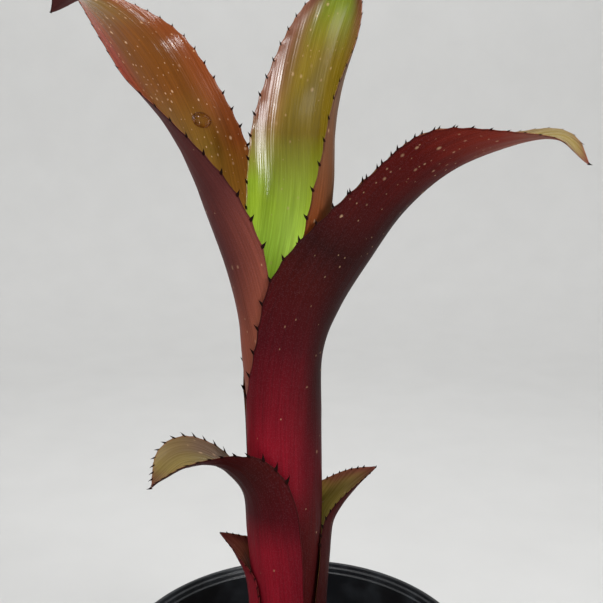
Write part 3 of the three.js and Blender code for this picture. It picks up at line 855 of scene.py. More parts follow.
def scatter_tree():
    """Geometry nodes that scatter crumbs of one size range over a surface."""
    tree, given = node_group("Crumbs of potting mix", (
        ("Density", "Float", 1e5), ("Least", "Vector", None), ("Most", "Vector", None),
        ("Tilt", "Float", 0.5), ("Roughness", "Float", 0.2), ("Seed", "Int", 0),
        ("Crumb", "Material", None),
    ))
    spots = node(tree, "GeometryNodeDistributePointsOnFaces", {
        "Mesh": given.outputs["Geometry"], "Density": given.outputs["Density"],
        "Seed": given.outputs["Seed"],
    })
    block = node(tree, "GeometryNodeMeshCube", {
        "Size": (1, 1, 1), "Vertices X": 3, "Vertices Y": 3, "Vertices Z": 3,
    })
    where = node(tree, "GeometryNodeInputPosition")

    # A crumb is a cube pushed almost half way to a ball, with a ripple over it
    direction = node(tree, VECTORS, {0: where}, operation="NORMALIZE")
    ball = node(tree, VECTORS, {0: direction, "Scale": 0.55}, operation="SCALE")
    half_round = node(tree, BLEND, {0: 0.45, 4: where, 5: ball}, data_type="VECTOR")
    ripple = node(tree, "ShaderNodeTexNoise", {"Vector": where, "Scale": 2.3, "Detail": 1.0})
    centred = node(tree, VECTORS, {0: ripple.outputs["Color"], 1: (0.5, 0.5, 0.5)}, operation="SUBTRACT")
    offset = node(tree, VECTORS, {0: centred, "Scale": given.outputs["Roughness"]}, operation="SCALE")
    crumb = node(tree, "GeometryNodeSetPosition", {
        "Geometry": block.outputs["Mesh"], "Position": half_round, "Offset": offset,
    })
    size = node(tree, "FunctionNodeRandomValue", {
        "Min": given.outputs["Least"], "Max": given.outputs["Most"], "Seed": given.outputs["Seed"],
    }, data_type="FLOAT_VECTOR")
    lean = node(tree, MATHS, {0: given.outputs["Tilt"], 1: -1.0}, operation="MULTIPLY")
    low = node(tree, "ShaderNodeCombineXYZ", {"X": lean, "Y": lean, "Z": 0.0})
    high = node(tree, "ShaderNodeCombineXYZ", {
        "X": given.outputs["Tilt"], "Y": given.outputs["Tilt"], "Z": 2 * math.pi,
    })
    turn = node(tree, "FunctionNodeRandomValue", {
        "Min": low, "Max": high, "Seed": given.outputs["Seed"],
    }, data_type="FLOAT_VECTOR")
    placed = node(tree, "GeometryNodeInstanceOnPoints", {
        "Points": spots.outputs["Points"], "Instance": crumb, "Rotation": turn, "Scale": size,
    })
    solid = node(tree, "GeometryNodeRealizeInstances", {"Geometry": placed})
    dressed = node(tree, "GeometryNodeSetMaterial", {
        "Geometry": solid, "Material": given.outputs["Crumb"],
    })
    node(tree, "NodeGroupOutput", {"Geometry": dressed})
    return tree


def leaf_pigment_and_painted_light(tree, look, settings, last_row, row, side):
    """Colours along the middle and both margins of a face, blended across it; some of them are painted light
    and shade.
    """
    middle, low, high = (
        node(tree, "ShaderNodeValToRGB", {"Fac": row}, stops=[
            (at / last_row, tuple(getattr(settings, tone))) for at, tone in look[part]
        ]) for part in ("middle", "low", "high")
    )
    tissue = middle
    start, end = look.get("blend", (0.35, 0.95))
    for tone, sign in ((low, -1), (high, 1)):
        share = node(tree, "ShaderNodeMapRange", {
            "Value": side, "From Min": sign * start, "From Max": sign * end,
        }, interpolation_type="SMOOTHSTEP")
        tissue = node(tree, BLEND, {0: share, 6: tissue, 7: tone}, data_type="RGBA")
    return tissue


def leaf_fibres(tree, place, tissue):
    """Fibres 0.7 mm apart and cloudy bands 8 mm apart that shift the pigment: (tissue, fibres)."""
    patterns = []
    for pitch, stretch, detail, swing in ((0.7, 26, 3.0, 0.14), (8, 45, 2.0, 0.08)):
        grid = node(tree, VECTORS, {0: place, 1: (1 / pitch, 1 / stretch, 0)}, operation="MULTIPLY")
        pattern = node(tree, "ShaderNodeTexNoise", {"Vector": grid, "Scale": 1.0, "Detail": detail},
                       noise_dimensions="2D")
        patterns.append(pattern)
        value = node(tree, "ShaderNodeMapRange", {
            "Value": pattern, "From Min": 0.3, "From Max": 0.7, "To Min": 1 - swing, "To Max": 1 + swing,
        })
        tissue = node(tree, "ShaderNodeHueSaturation", {"Value": value, "Color": tissue})
    return tissue, patterns[0]


def stops_along(rows, last_row):
    """Grey stops of a ramp along a leaf, from (row, share)."""
    return [(at / last_row, (share, share, share, 1)) for at, share in rows]


def leaf_flecks(tree, look, face, last_row, row, place):
    """Cover of the cream flecks: loose clusters, up to 2.4 mm long, longer along the leaf than across."""
    spread = node(tree, VECTORS, {0: place, 1: (1 / 3.2, 1 / 4.6, 0)}, operation="MULTIPLY")
    cells = node(tree, "ShaderNodeTexVoronoi", {"Vector": spread, "Scale": 1.0}, voronoi_dimensions="2D")
    draw = node(tree, "ShaderNodeSeparateColor", {0: cells.outputs["Color"]})
    cluster = node(tree, "ShaderNodeTexNoise", {"Vector": place, "Scale": 1 / 14}, noise_dimensions="2D")
    cluster = node(tree, "ShaderNodeMapRange", {"Value": cluster, "From Min": 0.4, "From Max": 0.6})
    chance = node(tree, "ShaderNodeValToRGB", {"Fac": row}, stops=stops_along(look["flecks"], last_row))
    chance = node(tree, MATHS, {0: chance, 1: cluster}, operation="MULTIPLY")
    chosen = node(tree, MATHS, {0: draw.outputs["Red"], 1: chance}, operation="LESS_THAN")
    radius = node(tree, "ShaderNodeMapRange", {
        "Value": node(tree, MATHS, {0: draw.outputs["Green"], 1: 2.5}, operation="POWER"),
        "To Min": 0.09, "To Max": 0.26,
    })
    heart = node(tree, MATHS, {0: radius, 1: 0.2}, operation="MULTIPLY")
    fleck = node(tree, "ShaderNodeMapRange", {
        "Value": cells.outputs["Distance"], "From Min": radius, "From Max": heart,
    }, interpolation_type="SMOOTHSTEP")
    depth = node(tree, "ShaderNodeMapRange", {
        "Value": draw.outputs["Blue"], "To Min": 0.12, "To Max": FLECK_DEPTH[face],
    })
    strength = node(tree, MATHS, {0: chosen, 1: depth}, operation="MULTIPLY")
    return node(tree, MATHS, {0: fleck, 1: strength}, operation="MULTIPLY")


def leaf_scales(tree, place):
    """Silvery leaf scales as dots, 0.6 mm apart across the leaf and 0.5 mm along it."""
    rows = node(tree, VECTORS, {0: place, 1: (1 / 0.6, 1 / 0.5, 0)}, operation="MULTIPLY")
    dots = node(tree, "ShaderNodeTexVoronoi", {"Vector": rows, "Scale": 1.0, "Randomness": 0.7},
                voronoi_dimensions="2D")
    pick = node(tree, "ShaderNodeSeparateColor", {0: dots.outputs["Color"]})
    dot = node(tree, "ShaderNodeMapRange", {
        "Value": dots.outputs["Distance"], "From Min": 0.5, "From Max": 0.15,
    }, interpolation_type="SMOOTHSTEP")
    return node(tree, MATHS, {0: dot, 1: pick.outputs["Green"]}, operation="MULTIPLY")


def leaf_margin(tree, most, edge, fibre):
    """Cover of the horny margin, 0.6 mm wide and worn along the fibres."""
    margin = node(tree, "ShaderNodeMapRange", {
        "Value": edge, "From Min": 0.9 * MM, "From Max": 0.3 * MM,
    }, interpolation_type="SMOOTHSTEP")
    worn = node(tree, "ShaderNodeMapRange", {
        "Value": fibre, "From Min": 0.4, "From Max": 0.65, "To Min": 0.2, "To Max": most,
    })
    return node(tree, MATHS, {0: margin, 1: worn}, operation="MULTIPLY")


def leaf_veins(tree, place, fibre, scales):
    """Relief of the veins, 1.1 mm apart, with fibres and scales on them."""
    across = node(tree, "ShaderNodeSeparateXYZ", {0: place}).outputs["X"]
    phase = node(tree, MATHS, {0: across, 1: 2 * math.pi / 1.1, 2: fibre.outputs["Fac"]},
                 operation="MULTIPLY_ADD")
    vein = node(tree, MATHS, {0: phase}, operation="SINE")
    relief = node(tree, MATHS, {0: vein, 1: 0.35, 2: fibre.outputs["Fac"]}, operation="MULTIPLY_ADD")
    relief = node(tree, MATHS, {0: scales, 1: 0.15, 2: relief}, operation="MULTIPLY_ADD")
    return node(tree, "ShaderNodeBump", {"Strength": 0.28, "Distance": 0.1 * MM, "Height": relief})


def leaf_swell(tree, look, last_row, row, side):
    """The low side flattens towards its margin, which turns its shine to the front."""
    near = node(tree, "ShaderNodeMapRange", {"Value": side, "From Min": -0.3, "From Max": -1})
    fall = node(tree, MATHS, {0: near, 1: near}, operation="MULTIPLY")
    held = node(tree, "ShaderNodeValToRGB", {"Fac": row}, stops=stops_along(look["swell"], last_row))
    fall = node(tree, MATHS, {0: fall, 1: held}, operation="MULTIPLY")
    return node(tree, "ShaderNodeBump", {"Strength": 1.0, "Distance": 4 * MM, "Height": fall}, invert=True)


def leaf_skin(name, face, settings, last_row):
    """Living bromeliad leaf: pigment under a waxy cuticle with silvery scales, with painted light and shade
    in some of its tones.

    The outer face is satin and only dusted with scales. The inner face is glossier, and its veins
    break the highlight into streaks.
    """
    look = SKINS[name][face]
    smooth, rough, specular, sheen, scaliness = look.get("gloss", FACES[face])
    skin, tree, shader = material(f"Waxy leaf, {name.replace('_', ' ')}, {face} face")
    row, side, edge = (
        node(tree, "ShaderNodeAttribute", attribute_name=title).outputs["Fac"]
        for title in ("row", "side", "edge")
    )
    flat = node(tree, "ShaderNodeUVMap", uv_map="blade")
    place = node(tree, VECTORS, {0: flat, "Scale": 1 / MM}, operation="SCALE")
    pigment = leaf_pigment_and_painted_light(tree, look, settings, last_row, row, side)
    tissue, fibre = leaf_fibres(tree, place, pigment)
    flecks = leaf_flecks(tree, look, face, last_row, row, place)
    scales = leaf_scales(tree, place)
    shown = node(tree, MATHS, {0: scales, 1: scaliness}, operation="MULTIPLY")
    margin_tone, most = MARGINS[face]
    margin = leaf_margin(tree, most, edge, fibre)
    for cover, tone in ((flecks, "fleck"), (shown, "scale"), (margin, margin_tone)):
        tissue = node(tree, BLEND, {
            0: cover, 6: tissue, 7: tuple(getattr(settings, tone)),
        }, data_type="RGBA")
    tree.links.new(tissue.outputs[2], shader.inputs["Base Color"])
    veins = leaf_veins(tree, place, fibre, scales)
    if "swell" in look:
        swell = leaf_swell(tree, look, last_row, row, side)
        tree.links.new(swell.outputs[0], veins.inputs["Normal"])
    tree.links.new(veins.outputs[0], shader.inputs["Normal"])
    gloss = node(tree, "ShaderNodeMapRange", {
        "Value": fibre, "From Min": 0.3, "From Max": 0.7, "To Min": smooth, "To Max": rough,
    })
    tree.links.new(gloss.outputs[0], shader.inputs["Roughness"])
    shader.inputs["Specular IOR Level"].default_value = specular
    shader.inputs["Sheen Weight"].default_value = sheen
    shader.inputs["Sheen Roughness"].default_value = 0.35
    shader.inputs["Sheen Tint"].default_value = tuple(settings.scale)
    return skin


def bract_skin(settings):
    """Dry papery scale leaf: matt, fibrous, orange-brown."""
    skin, tree, shader = material("Dry papery bract")
    flat = node(tree, "ShaderNodeUVMap", uv_map="blade")
    fine = node(tree, VECTORS, {0: flat, 1: (1 / (0.5 * MM), 1 / (14 * MM), 0)}, operation="MULTIPLY")
    fibre = node(tree, "ShaderNodeTexNoise", {"Vector": fine, "Scale": 1.0, "Detail": 4.0},
                 noise_dimensions="2D")
    value = node(tree, "ShaderNodeMapRange", {
        "Value": fibre, "From Min": 0.25, "From Max": 0.75, "To Min": 0.5, "To Max": 1.35,
    })
    tone = node(tree, "ShaderNodeHueSaturation", {"Value": value, "Color": tuple(settings.bract)})
    tree.links.new(tone.outputs[0], shader.inputs["Base Color"])
    bump = node(tree, "ShaderNodeBump", {"Strength": 0.6, "Distance": 0.15 * MM, "Height": fibre})
    tree.links.new(bump.outputs[0], shader.inputs["Normal"])
    shader.inputs["Roughness"].default_value = 0.75
    return skin


def spine_horn(settings):
    """Horny spine: dull red-brown at its root, near black at its point."""
    skin, tree, shader = material("Horny spine")
    rise = node(tree, "ShaderNodeAttribute", attribute_name="rise")
    tone = node(tree, "ShaderNodeValToRGB", {"Fac": rise.outputs["Fac"]}, stops=[
        (0.0, tuple(settings.cherry)), (0.3, tuple(settings.horn)), (1.0, tuple(settings.horn)),
    ])
    tree.links.new(tone.outputs[0], shader.inputs["Base Color"])
    shader.inputs["Roughness"].default_value = 0.8
    shader.inputs["Specular IOR Level"].default_value = 0.05
    return skin


def pot_plastic(settings):
    """Moulded black polypropylene: satin, with fine scuffs and a film of dust that dull it."""
    skin, tree, shader = material("Moulded black polypropylene")
    spot = node(tree, "ShaderNodeTexCoord").outputs["Object"]
    scuff = node(tree, "ShaderNodeTexNoise", {"Vector": spot, "Scale": 1 / (14 * MM), "Detail": 6.0})
    grain = node(tree, "ShaderNodeTexNoise", {"Vector": spot, "Scale": 1 / (0.6 * MM), "Detail": 2.0})
    dust = node(tree, "ShaderNodeMapRange", {
        "Value": scuff, "From Min": 0.52, "From Max": 0.78, "To Min": 0.0, "To Max": 0.16,
    })
    tone = node(tree, BLEND, {
        0: dust, 6: tuple(settings.plastic), 7: tuple(settings.dust),
    }, data_type="RGBA")
    tree.links.new(tone.outputs[2], shader.inputs["Base Color"])
    gloss = node(tree, "ShaderNodeMapRange", {
        "Value": scuff, "From Min": 0.3, "From Max": 0.7, "To Min": 0.26, "To Max": 0.45,
    })
    tree.links.new(gloss.outputs[0], shader.inputs["Roughness"])
    bump = node(tree, "ShaderNodeBump", {"Strength": 0.15, "Distance": 0.05 * MM, "Height": grain})
    tree.links.new(bump.outputs[0], shader.inputs["Normal"])
    return skin


def crumb_skin(title, tone, rough, spread):
    """A crumb of the mix: matt, each one a little lighter or darker than the next."""
    skin, tree, shader = material(title)
    spot = node(tree, "ShaderNodeTexCoord").outputs["Object"]
    patch = node(tree, "ShaderNodeTexNoise", {"Vector": spot, "Scale": 1 / (5 * MM), "Detail": 5.0})
    value = node(tree, "ShaderNodeMapRange", {
        "Value": patch, "From Min": 0.3, "From Max": 0.7, "To Min": 1 - spread, "To Max": 1 + spread,
    })
    shade = node(tree, "ShaderNodeHueSaturation", {"Value": value, "Color": tone})
    tree.links.new(shade.outputs[0], shader.inputs["Base Color"])
    bump = node(tree, "ShaderNodeBump", {"Strength": 0.7, "Distance": 0.3 * MM, "Height": patch})
    tree.links.new(bump.outputs[0], shader.inputs["Normal"])
    shader.inputs["Roughness"].default_value = rough
    return skin


def clear_water(settings):
    """Water: a clear drop whose rim is painted with the leaf's colour, and whose highlight comes from the
    lights.
    """
    skin, tree, shader = material("Clear water")
    share = node(tree, "ShaderNodeAttribute", attribute_name="share").outputs["Fac"]
    # Painted refraction: the cover leaves the middle nearly clear and the rim nearly opaque, where the tint
    # paints in the leaf's colour
    cover = node(tree, "ShaderNodeMapRange", {
        "Value": share, "From Min": 0.5, "From Max": 0.95, "To Min": 0.1, "To Max": 0.95,
    })
    tree.links.new(cover.outputs[0], shader.inputs["Alpha"])
    shader.inputs["Base Color"].default_value = tuple(settings.tint)
    shader.inputs["Roughness"].default_value = 0.03
    shader.inputs["IOR"].default_value = 1.333
    shader.inputs["Specular IOR Level"].default_value = 1.0
    shader.inputs["Transmission Weight"].default_value = 1.0
    return skin


def background_paper(settings):
    """Matt background paper: an even pale grey with a faint tooth."""
    skin, tree, shader = material("Matt background paper")
    spot = node(tree, "ShaderNodeTexCoord").outputs["Object"]
    tooth = node(tree, "ShaderNodeTexNoise", {"Vector": spot, "Scale": 1 / (60 * MM), "Detail": 4.0})
    value = node(tree, "ShaderNodeMapRange", {
        "Value": tooth, "From Min": 0.3, "From Max": 0.7, "To Min": 0.985, "To Max": 1.015,
    })
    tone = node(tree, "ShaderNodeHueSaturation", {"Value": value, "Color": tuple(settings.paper)})
    tree.links.new(tone.outputs[0], shader.inputs["Base Color"])
    shader.inputs["Roughness"].default_value = 0.95
    shader.inputs["Specular IOR Level"].default_value = 0.1
    return skin


class BILLBERGIA_OT_pot(bpy.types.Operator):
    """Moulds the nursery pot with its stepped band, rolled lip and drain holes"""

    bl_idname = "billbergia.pot"
    bl_label = "Pot"

    def execute(self, context):
        s = context.scene.billbergia_pot
        floor, shoulder, lip_foot = FLOOR * MM, SHOULDER * MM, s.height - LIP * MM
        shoulder_radius, band_radius = SHOULDER_RADIUS * MM, BAND_RADIUS * MM
        outline = rounded((
            # Underside with its foot ring
            (0, 0.6 * MM, 0),
            (s.foot - 9 * MM, 0.6 * MM, 0.4 * MM),
            (s.foot - 8 * MM, 0, 0.4 * MM),
            (s.foot - 1.5 * MM, 0, 0.6 * MM),
            (s.foot, 1.5 * MM, 1 * MM),
            # Tapered wall, band and rolled lip
            (shoulder_radius, shoulder, 0.6 * MM),
            (band_radius - 1 * MM, shoulder + 2.2 * MM, 1 * MM),
            (band_radius, lip_foot, 0.4 * MM),
            (s.rim - 0.8 * MM, lip_foot + 0.6 * MM, 0.6 * MM),
            (s.rim, lip_foot + 2 * MM, 1 * MM),
            (s.rim, s.height - 1.4 * MM, 1 * MM),
            (s.rim - 1 * MM, s.height, 0.8 * MM),
            # Inner side of the lip, which steps down twice
            (s.rim - 2.6 * MM, s.height, 0.6 * MM),
            (s.rim - 2.9 * MM, s.height - 1.8 * MM, 0.3 * MM),
            (s.rim - 3.8 * MM, s.height - 2.1 * MM, 0.3 * MM),
            (s.rim - 4.1 * MM, s.height - 4 * MM, 0.3 * MM),
            (s.rim - 4.9 * MM, s.height - 4.3 * MM, 0.3 * MM),
            # Inner wall and floor
            (band_radius - s.wall, lip_foot - 1 * MM, 1 * MM),
            (band_radius - s.wall - 0.8 * MM, shoulder + s.wall + 2.2 * MM, 1 * MM),
            (shoulder_radius - s.wall, shoulder, 1 * MM),
            (s.foot - s.wall, floor, 1.2 * MM),
            (0, floor, 0),
        ))
        plastic = pot_plastic(s)
        piece = mesh_object("nursery_pot", *turned(outline, s.segments), plastic)
        drains = self.drains(floor)
        cut = piece.modifiers.new("drains", "BOOLEAN")
        cut.operation, cut.solver, cut.object = "DIFFERENCE", "EXACT", drains
        graph = context.evaluated_depsgraph_get()
        mesh = bpy.data.meshes.new_from_object(piece.evaluated_get(graph))
        piece.modifiers.remove(cut)
        piece.data = mesh
        bpy.data.objects.remove(drains)
        mesh.set_sharp_from_angle(angle=math.radians(50))
        keep(piece, "pot")
        return {"FINISHED"}

    def drains(self, floor):
        """Eight round cutters in a ring through the floor."""
        count, radius, circle, sides = 8, 4 * MM, 42 * MM, 24
        points, faces = [], []
        for i in range(count):
            centre = 2 * math.pi * i / count
            first = len(points)
            for z in (-floor, 2 * floor):
                for k in range(sides):
                    a = 2 * math.pi * k / sides
                    x = circle * math.cos(centre) + radius * math.cos(a)
                    y = circle * math.sin(centre) + radius * math.sin(a)
                    points.append((x, y, z))
            low = [first + k for k in range(sides)]
            high = [first + sides + k for k in range(sides)]
            faces += [tuple(reversed(low)), tuple(high)]
            for k in range(sides):
                n = (k + 1) % sides
                faces.append((low[k], low[n], high[n], high[k]))
        return mesh_object("drain_cutters", points, faces)


class BILLBERGIA_OT_mix(bpy.types.Operator):
    """Fills the pot with moist mix and scatters bark, perlite and coir crumbs over it"""

    bl_idname = "billbergia.mix"
    bl_label = "Potting mix"

    def execute(self, context):
        s = context.scene.billbergia_mix
        humus = crumb_skin("Moist peat and coir", tuple(s.humus), 0.9, 0.45)
        bed = mesh_object("potting_mix_bed", *self.bed(), humus)
        keep(bed, "potting_mix")
        surface = self.surface()
        bark = crumb_skin("Composted pine bark", tuple(s.bark), 0.85, 0.4)
        perlite = crumb_skin("Expanded perlite", tuple(s.perlite), 0.8, 0.12)
        tree = scatter_tree()
        # (name, crumbs for a square metre, least and most sizes as shares of the grain, grain,
        # tilt, roughness, material)
        kinds = (
            ("bark_chips", 62000, (0.35, 0.22, 0.12), (1.0, 0.6, 0.32), s.chip, 0.5, 0.5, bark),
            ("coir_crumbs", 240000, (0.2, 0.16, 0.12), (0.5, 0.4, 0.3), s.chip, 1.2, 0.6, humus),
            ("perlite_grit", 16000, (0.4, 0.4, 0.35), (1.0, 0.9, 0.8), s.grit, 1.5, 0.35, perlite),
        )
        for i, (name, density, least, most, size, tilt, rough, skin) in enumerate(kinds):
            piece = grown(name, surface.copy(), tree, {
                "Density": float(density),
                "Least": tuple(size * c for c in least),
                "Most": tuple(size * c for c in most),
                "Tilt": tilt, "Roughness": rough, "Seed": s.seed + i, "Crumb": skin,
            })
            keep(piece)
        return {"FINISHED"}

    def height(self, x, y):
        """Height of the mix at a point, in metres: the solid's low waves with a crumbly surface."""
        u, v = x / MM, y / MM
        wave = math.sin(0.31 * u + 1) * math.cos(0.27 * v) + 0.6 * math.sin(0.17 * u - 0.39 * v)
        crumbs = noise.fractal(Vector((u, v, 0)) / 6, 0.6, 2.2, 4)
        return MM * (MIX_LEVEL + 0.9 * wave + 0.7 * crumbs)

    def ring(self, part, hole, rim, segments):
        """A ring of the mix's top, part of the way from the crown's hole to the pot's wall."""
        radius = hole + (rim - hole) * part
        centre = CROWN_X * MM * (1 - part)
        turn = [2 * math.pi * k / segments for k in range(segments)]
        return [(centre + radius * math.cos(a), radius * math.sin(a)) for a in turn]

    def bed(self):
        """The mix as one closed body that fills the pot, with the plain hole for the crown."""
        segments, rings = 120, 30
        gap = FIT_GAP * MM
        hole = CROWN_RADIUS * MM + gap
        rim = MIX_HIGH.x - 0.6 * MM
        foot = MIX_LOW.z
        hole_floor = CROWN_LOW.z - gap
        points = [(CROWN_X * MM, 0, hole_floor)]
        points += [(x, y, hole_floor) for x, y in self.ring(0, hole, rim, segments)]
        for i in range(rings + 1):
            # The crumbly surface runs out to the plain level at the crown and at the wall
            fade = min(1, i / 3, (rings - i) / 2)
            for x, y in self.ring(i / rings, hole, rim, segments):
                points.append((x, y, MIX_LEVEL * MM * (1 - fade) + self.height(x, y) * fade))
        slope = (SHOULDER_RADIUS - FOOT_RADIUS) / (SHOULDER - FLOOR)
        low_rim = rim - slope * (MIX_LEVEL * MM - foot)
        points += [(x, y, foot) for x, y in self.ring(1, 0, low_rim, segments)]
        points.append((0, 0, foot))
        last = len(points) - 1
        faces = []
        for k in range(segments):
            n = (k + 1) % segments
            faces.append((0, 1 + k, 1 + n))
            faces.append((last, last - segments + n, last - segments + k))
            for i in range(rings + 2):
                low = 1 + i * segments
                high = low + segments
                faces.append((low + k, high + k, high + n, low + n))
        return points, faces

    def surface(self):
        """An open patch of the mix's top for the crumbs to stand on, clear of leaves and wall."""
        segments, rings = 96, 20
        hole, rim = 21 * MM, MIX_HIGH.x - 4 * MM
        points = []
        for i in range(rings + 1):
            for x, y in self.ring(i / rings, hole, rim, segments):
                points.append((x, y, self.height(x, y) - 0.3 * MM))
        mesh = bpy.data.meshes.new("mix_surface")
        faces = [
            (i * segments + k, (i + 1) * segments + k,
             (i + 1) * segments + (k + 1) % segments, i * segments + (k + 1) % segments)
            for i in range(rings) for k in range(segments)
        ]
        mesh.from_pydata(points, [], faces)
        return mesh


class BILLBERGIA_OT_crown(bpy.types.Operator):
    """Gives the buried crown its corky skin"""

    bl_idname = "billbergia.crown"
    bl_label = "Crown"

    def execute(self, context):
        s = context.scene.billbergia_leaf
        cork = crumb_skin("Corky stem skin", tuple(s.cork), 0.85, 0.35)
        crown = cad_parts["crown"]
        crown.data.materials.clear()
        crown.data.materials.append(cork)
        return {"FINISHED"}


class BILLBERGIA_OT_leaves(bpy.types.Operator):
    """Grows the leaves with their round margins, folds, and pigment with painted light and shade"""

    bl_idname = "billbergia.leaves"
    bl_label = "Leaves"

    def execute(self, context):
        s = context.scene.billbergia_leaf
        for name, leaf in LEAVES.items():
            last_row = len(leaf["sheath"]) + len(leaf["blade"]) - 1
            if name in SKINS:
                skins = [leaf_skin(name, face, s, last_row) for face in FACES]
            else:
                skins = [bract_skin(s)]
            keep(blade_mesh(f"{name}_blade", leaf, s, skins), name)
        return {"FINISHED"}


class BILLBERGIA_OT_spines(bpy.types.Operator):
    """Sets the hooked spines along both margins of each leaf"""

    bl_idname = "billbergia.spines"
    bl_label = "Spines"

    def execute(self, context):
        s = context.scene.billbergia_leaf
        tree = spine_tree()
        horn = spine_horn(s)
        root = 0.3 * MM
        for name, leaf in LEAVES.items():
            if not leaf["spines"]:
                continue
            blade = Blade(leaf, s.pitch)
            piece = grown(f"{name}_spines", spine_points(name, blade, leaf["spines"]), tree, {
                "Length": leaf["spines"][3] * MM + root, "Base": s.spine_base,
                "Thickness": s.spine_thick, "Hook": s.hook, "Horn": horn,
            })
            keep(piece)
        return {"FINISHED"}


class BILLBERGIA_OT_drop(bpy.types.Operator):
    """Rests a drop of water on the inner face of the left blade"""

    bl_idname = "billbergia.drop"
    bl_label = "Water drop"

    def execute(self, context):
        s = context.scene.billbergia_drop
        leaf = context.scene.billbergia_leaf
        blade = Blade(LEAVES["leaf_left"], leaf.pitch)
        reach = np.interp(s.row, blade.time, blade.reach)
        half_width = np.interp(s.row, blade.time, blade.half_width)
        rings, segments = 12, 48
        shares = np.concatenate([[0], np.repeat(np.arange(1, rings + 1) / rings, segments)])
        turns = np.concatenate([[0], np.tile(2 * math.pi * np.arange(segments) / segments, rings)])
        across = 0.5 * s.width * shares * np.cos(turns)
        along = 0.5 * s.length * shares * np.sin(turns)
        points, normals = blade.place(reach + along, s.side + across / half_width)
        rise = s.height * (1 - shares ** 3)
        # The sole lies a little inside the leaf, so the drop stands on it without a gap
        skin = 0.5 * leaf.thickness
        top = points + normals * (skin + rise)[:, None]
        sole = points + normals * (0.6 * skin)
        faces = []
        for k in range(segments):
            n = (k + 1) % segments
            faces.append((0, 1 + k, 1 + n))
            for i in range(rings - 1):
                low = 1 + i * segments
                high = low + segments
                faces.append((low + k, high + k, high + n, low + n))
        count = len(top)
        faces += [tuple(count + i for i in reversed(face)) for face in faces]
        rim = 1 + (rings - 1) * segments
        for k in range(segments):
            n = (k + 1) % segments
            faces.append((rim + n, rim + k, count + rim + k, count + rim + n))
        piece = mesh_object("water_drop", np.concatenate([top, sole]), faces, clear_water(s))
        point_values(piece.data, "share", np.concatenate([shares, shares]))
        keep(piece)
        return {"FINISHED"}


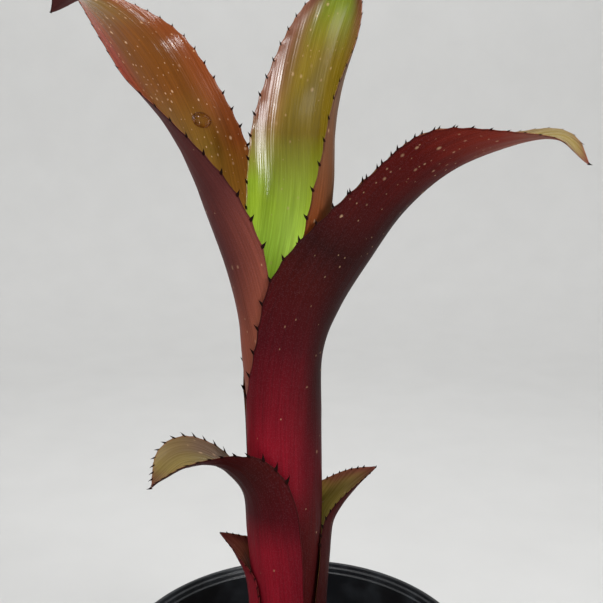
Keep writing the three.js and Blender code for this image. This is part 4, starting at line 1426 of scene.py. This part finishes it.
class BILLBERGIA_OT_stage(bpy.types.Operator):
    """Sets the pale paper stage, the soft lights and the camera"""

    bl_idname = "billbergia.stage"
    bl_label = "Stage"

    def execute(self, context):
        s = context.scene.billbergia_stage
        bend, height, board = 500 * MM, 1302 * MM, 5 * MM
        wall = s.reach + bend
        points, faces = turned(rounded((
            (0, 0, 0), (wall, 0, bend), (wall, height, 0),
            (wall + board, height, 0), (wall + board, -board, 0), (0, -board, 0),
        ), 10), 96)
        paper = mesh_object("paper_sweep", points, [tuple(reversed(f)) for f in faces], background_paper(s))
        paper.data.set_sharp_from_angle(angle=math.radians(60))
        self.camera(context.scene, s)
        self.lights(context.scene)
        return {"FINISHED"}

    def camera(self, scene, s):
        """The camera at the photo's place, level from side to side."""
        data = bpy.data.cameras.new("camera")
        data.lens, data.sensor_width = s.lens, 36
        data.clip_start, data.clip_end = 10 * MM, 20
        camera = bpy.data.objects.new("camera", data)
        camera.location = s.eye
        camera.rotation_euler = (math.pi / 2 - s.tilt, 0, 0)
        scene.collection.objects.link(camera)
        scene.camera = camera

    def lights(self, scene):
        """A soft box to the front left, three small lights for the highlights, a wall wash and a sky.

        Places, aims and sizes are in metres, and the last number is the power in watts.
        """
        for name, place, aim, width, tall, watts in (
            ("soft_box", (-0.38, -0.46, 1.25), (0, 0, 0.27), 0.9, 0.9, 8.5),
            ("low_window", (0.53, -0.64, 0.52), (0, 0, 0.34), 0.14, 0.22, 4.2),
            ("high_window", (0.32, -0.11, 1.07), (-0.06, 0.03, 0.38), 0.07, 0.09, 2),
            ("top_lamp", (0.02, 0.18, 1.3), (-0.04, 0.02, 0.37), 0.2, 0.1, 1.8),
            ("wall_wash", (0, 0.8, 1.25), (0, 1.4, 0.75), 1.2, 0.3, 2.6),
        ):
            data = bpy.data.lights.new(name, "AREA")
            data.shape, data.energy = "RECTANGLE", watts
            data.size, data.size_y = width, tall
            lamp = bpy.data.objects.new(name, data)
            lamp.location = place
            lamp.rotation_euler = (Vector(aim) - Vector(place)).to_track_quat("-Z", "Y").to_euler()
            lamp.visible_camera = False
            scene.collection.objects.link(lamp)
        world = bpy.data.worlds.new("studio sky")
        world.use_nodes = True
        sky = world.node_tree.nodes["Background"]
        sky.inputs["Color"].default_value = (1, 1, 1, 1)
        sky.inputs["Strength"].default_value = 0.6
        scene.world = world
        scene.view_settings.view_transform = "Standard"


OPERATORS = (
    BILLBERGIA_OT_stage,
    BILLBERGIA_OT_pot,
    BILLBERGIA_OT_mix,
    BILLBERGIA_OT_crown,
    BILLBERGIA_OT_leaves,
    BILLBERGIA_OT_spines,
    BILLBERGIA_OT_drop,
)


class BILLBERGIA_PT_panel(bpy.types.Panel):
    """Lists the pieces and their sizes and colours"""

    bl_idname = "BILLBERGIA_PT_panel"
    bl_label = "Billbergia"
    bl_space_type = "VIEW_3D"
    bl_region_type = "UI"
    bl_category = "Billbergia"

    def draw(self, context):
        for operator in OPERATORS:
            self.layout.operator(operator.bl_idname)
        for attribute, group in SETTINGS.items():
            box = self.layout.box()
            for name in group.__annotations__:
                box.prop(getattr(context.scene, attribute), name)


CLASSES = (*SETTINGS.values(), *OPERATORS, BILLBERGIA_PT_panel)


def register():
    """Adds the classes, and the settings to the scene."""
    for cls in CLASSES:
        bpy.utils.register_class(cls)
    for attribute, group in SETTINGS.items():
        setattr(bpy.types.Scene, attribute, PointerProperty(type=group))


def unregister():
    """Takes the settings and the classes away again."""
    for attribute in SETTINGS:
        delattr(bpy.types.Scene, attribute)
    for cls in reversed(CLASSES):
        bpy.utils.unregister_class(cls)


def main():
    """Builds the stage and every piece."""
    register()
    bpy.ops.billbergia.stage()
    bpy.ops.billbergia.pot()
    bpy.ops.billbergia.mix()
    bpy.ops.billbergia.crown()
    bpy.ops.billbergia.leaves()
    bpy.ops.billbergia.spines()
    bpy.ops.billbergia.drop()


if __name__ == "__main__":
    main()
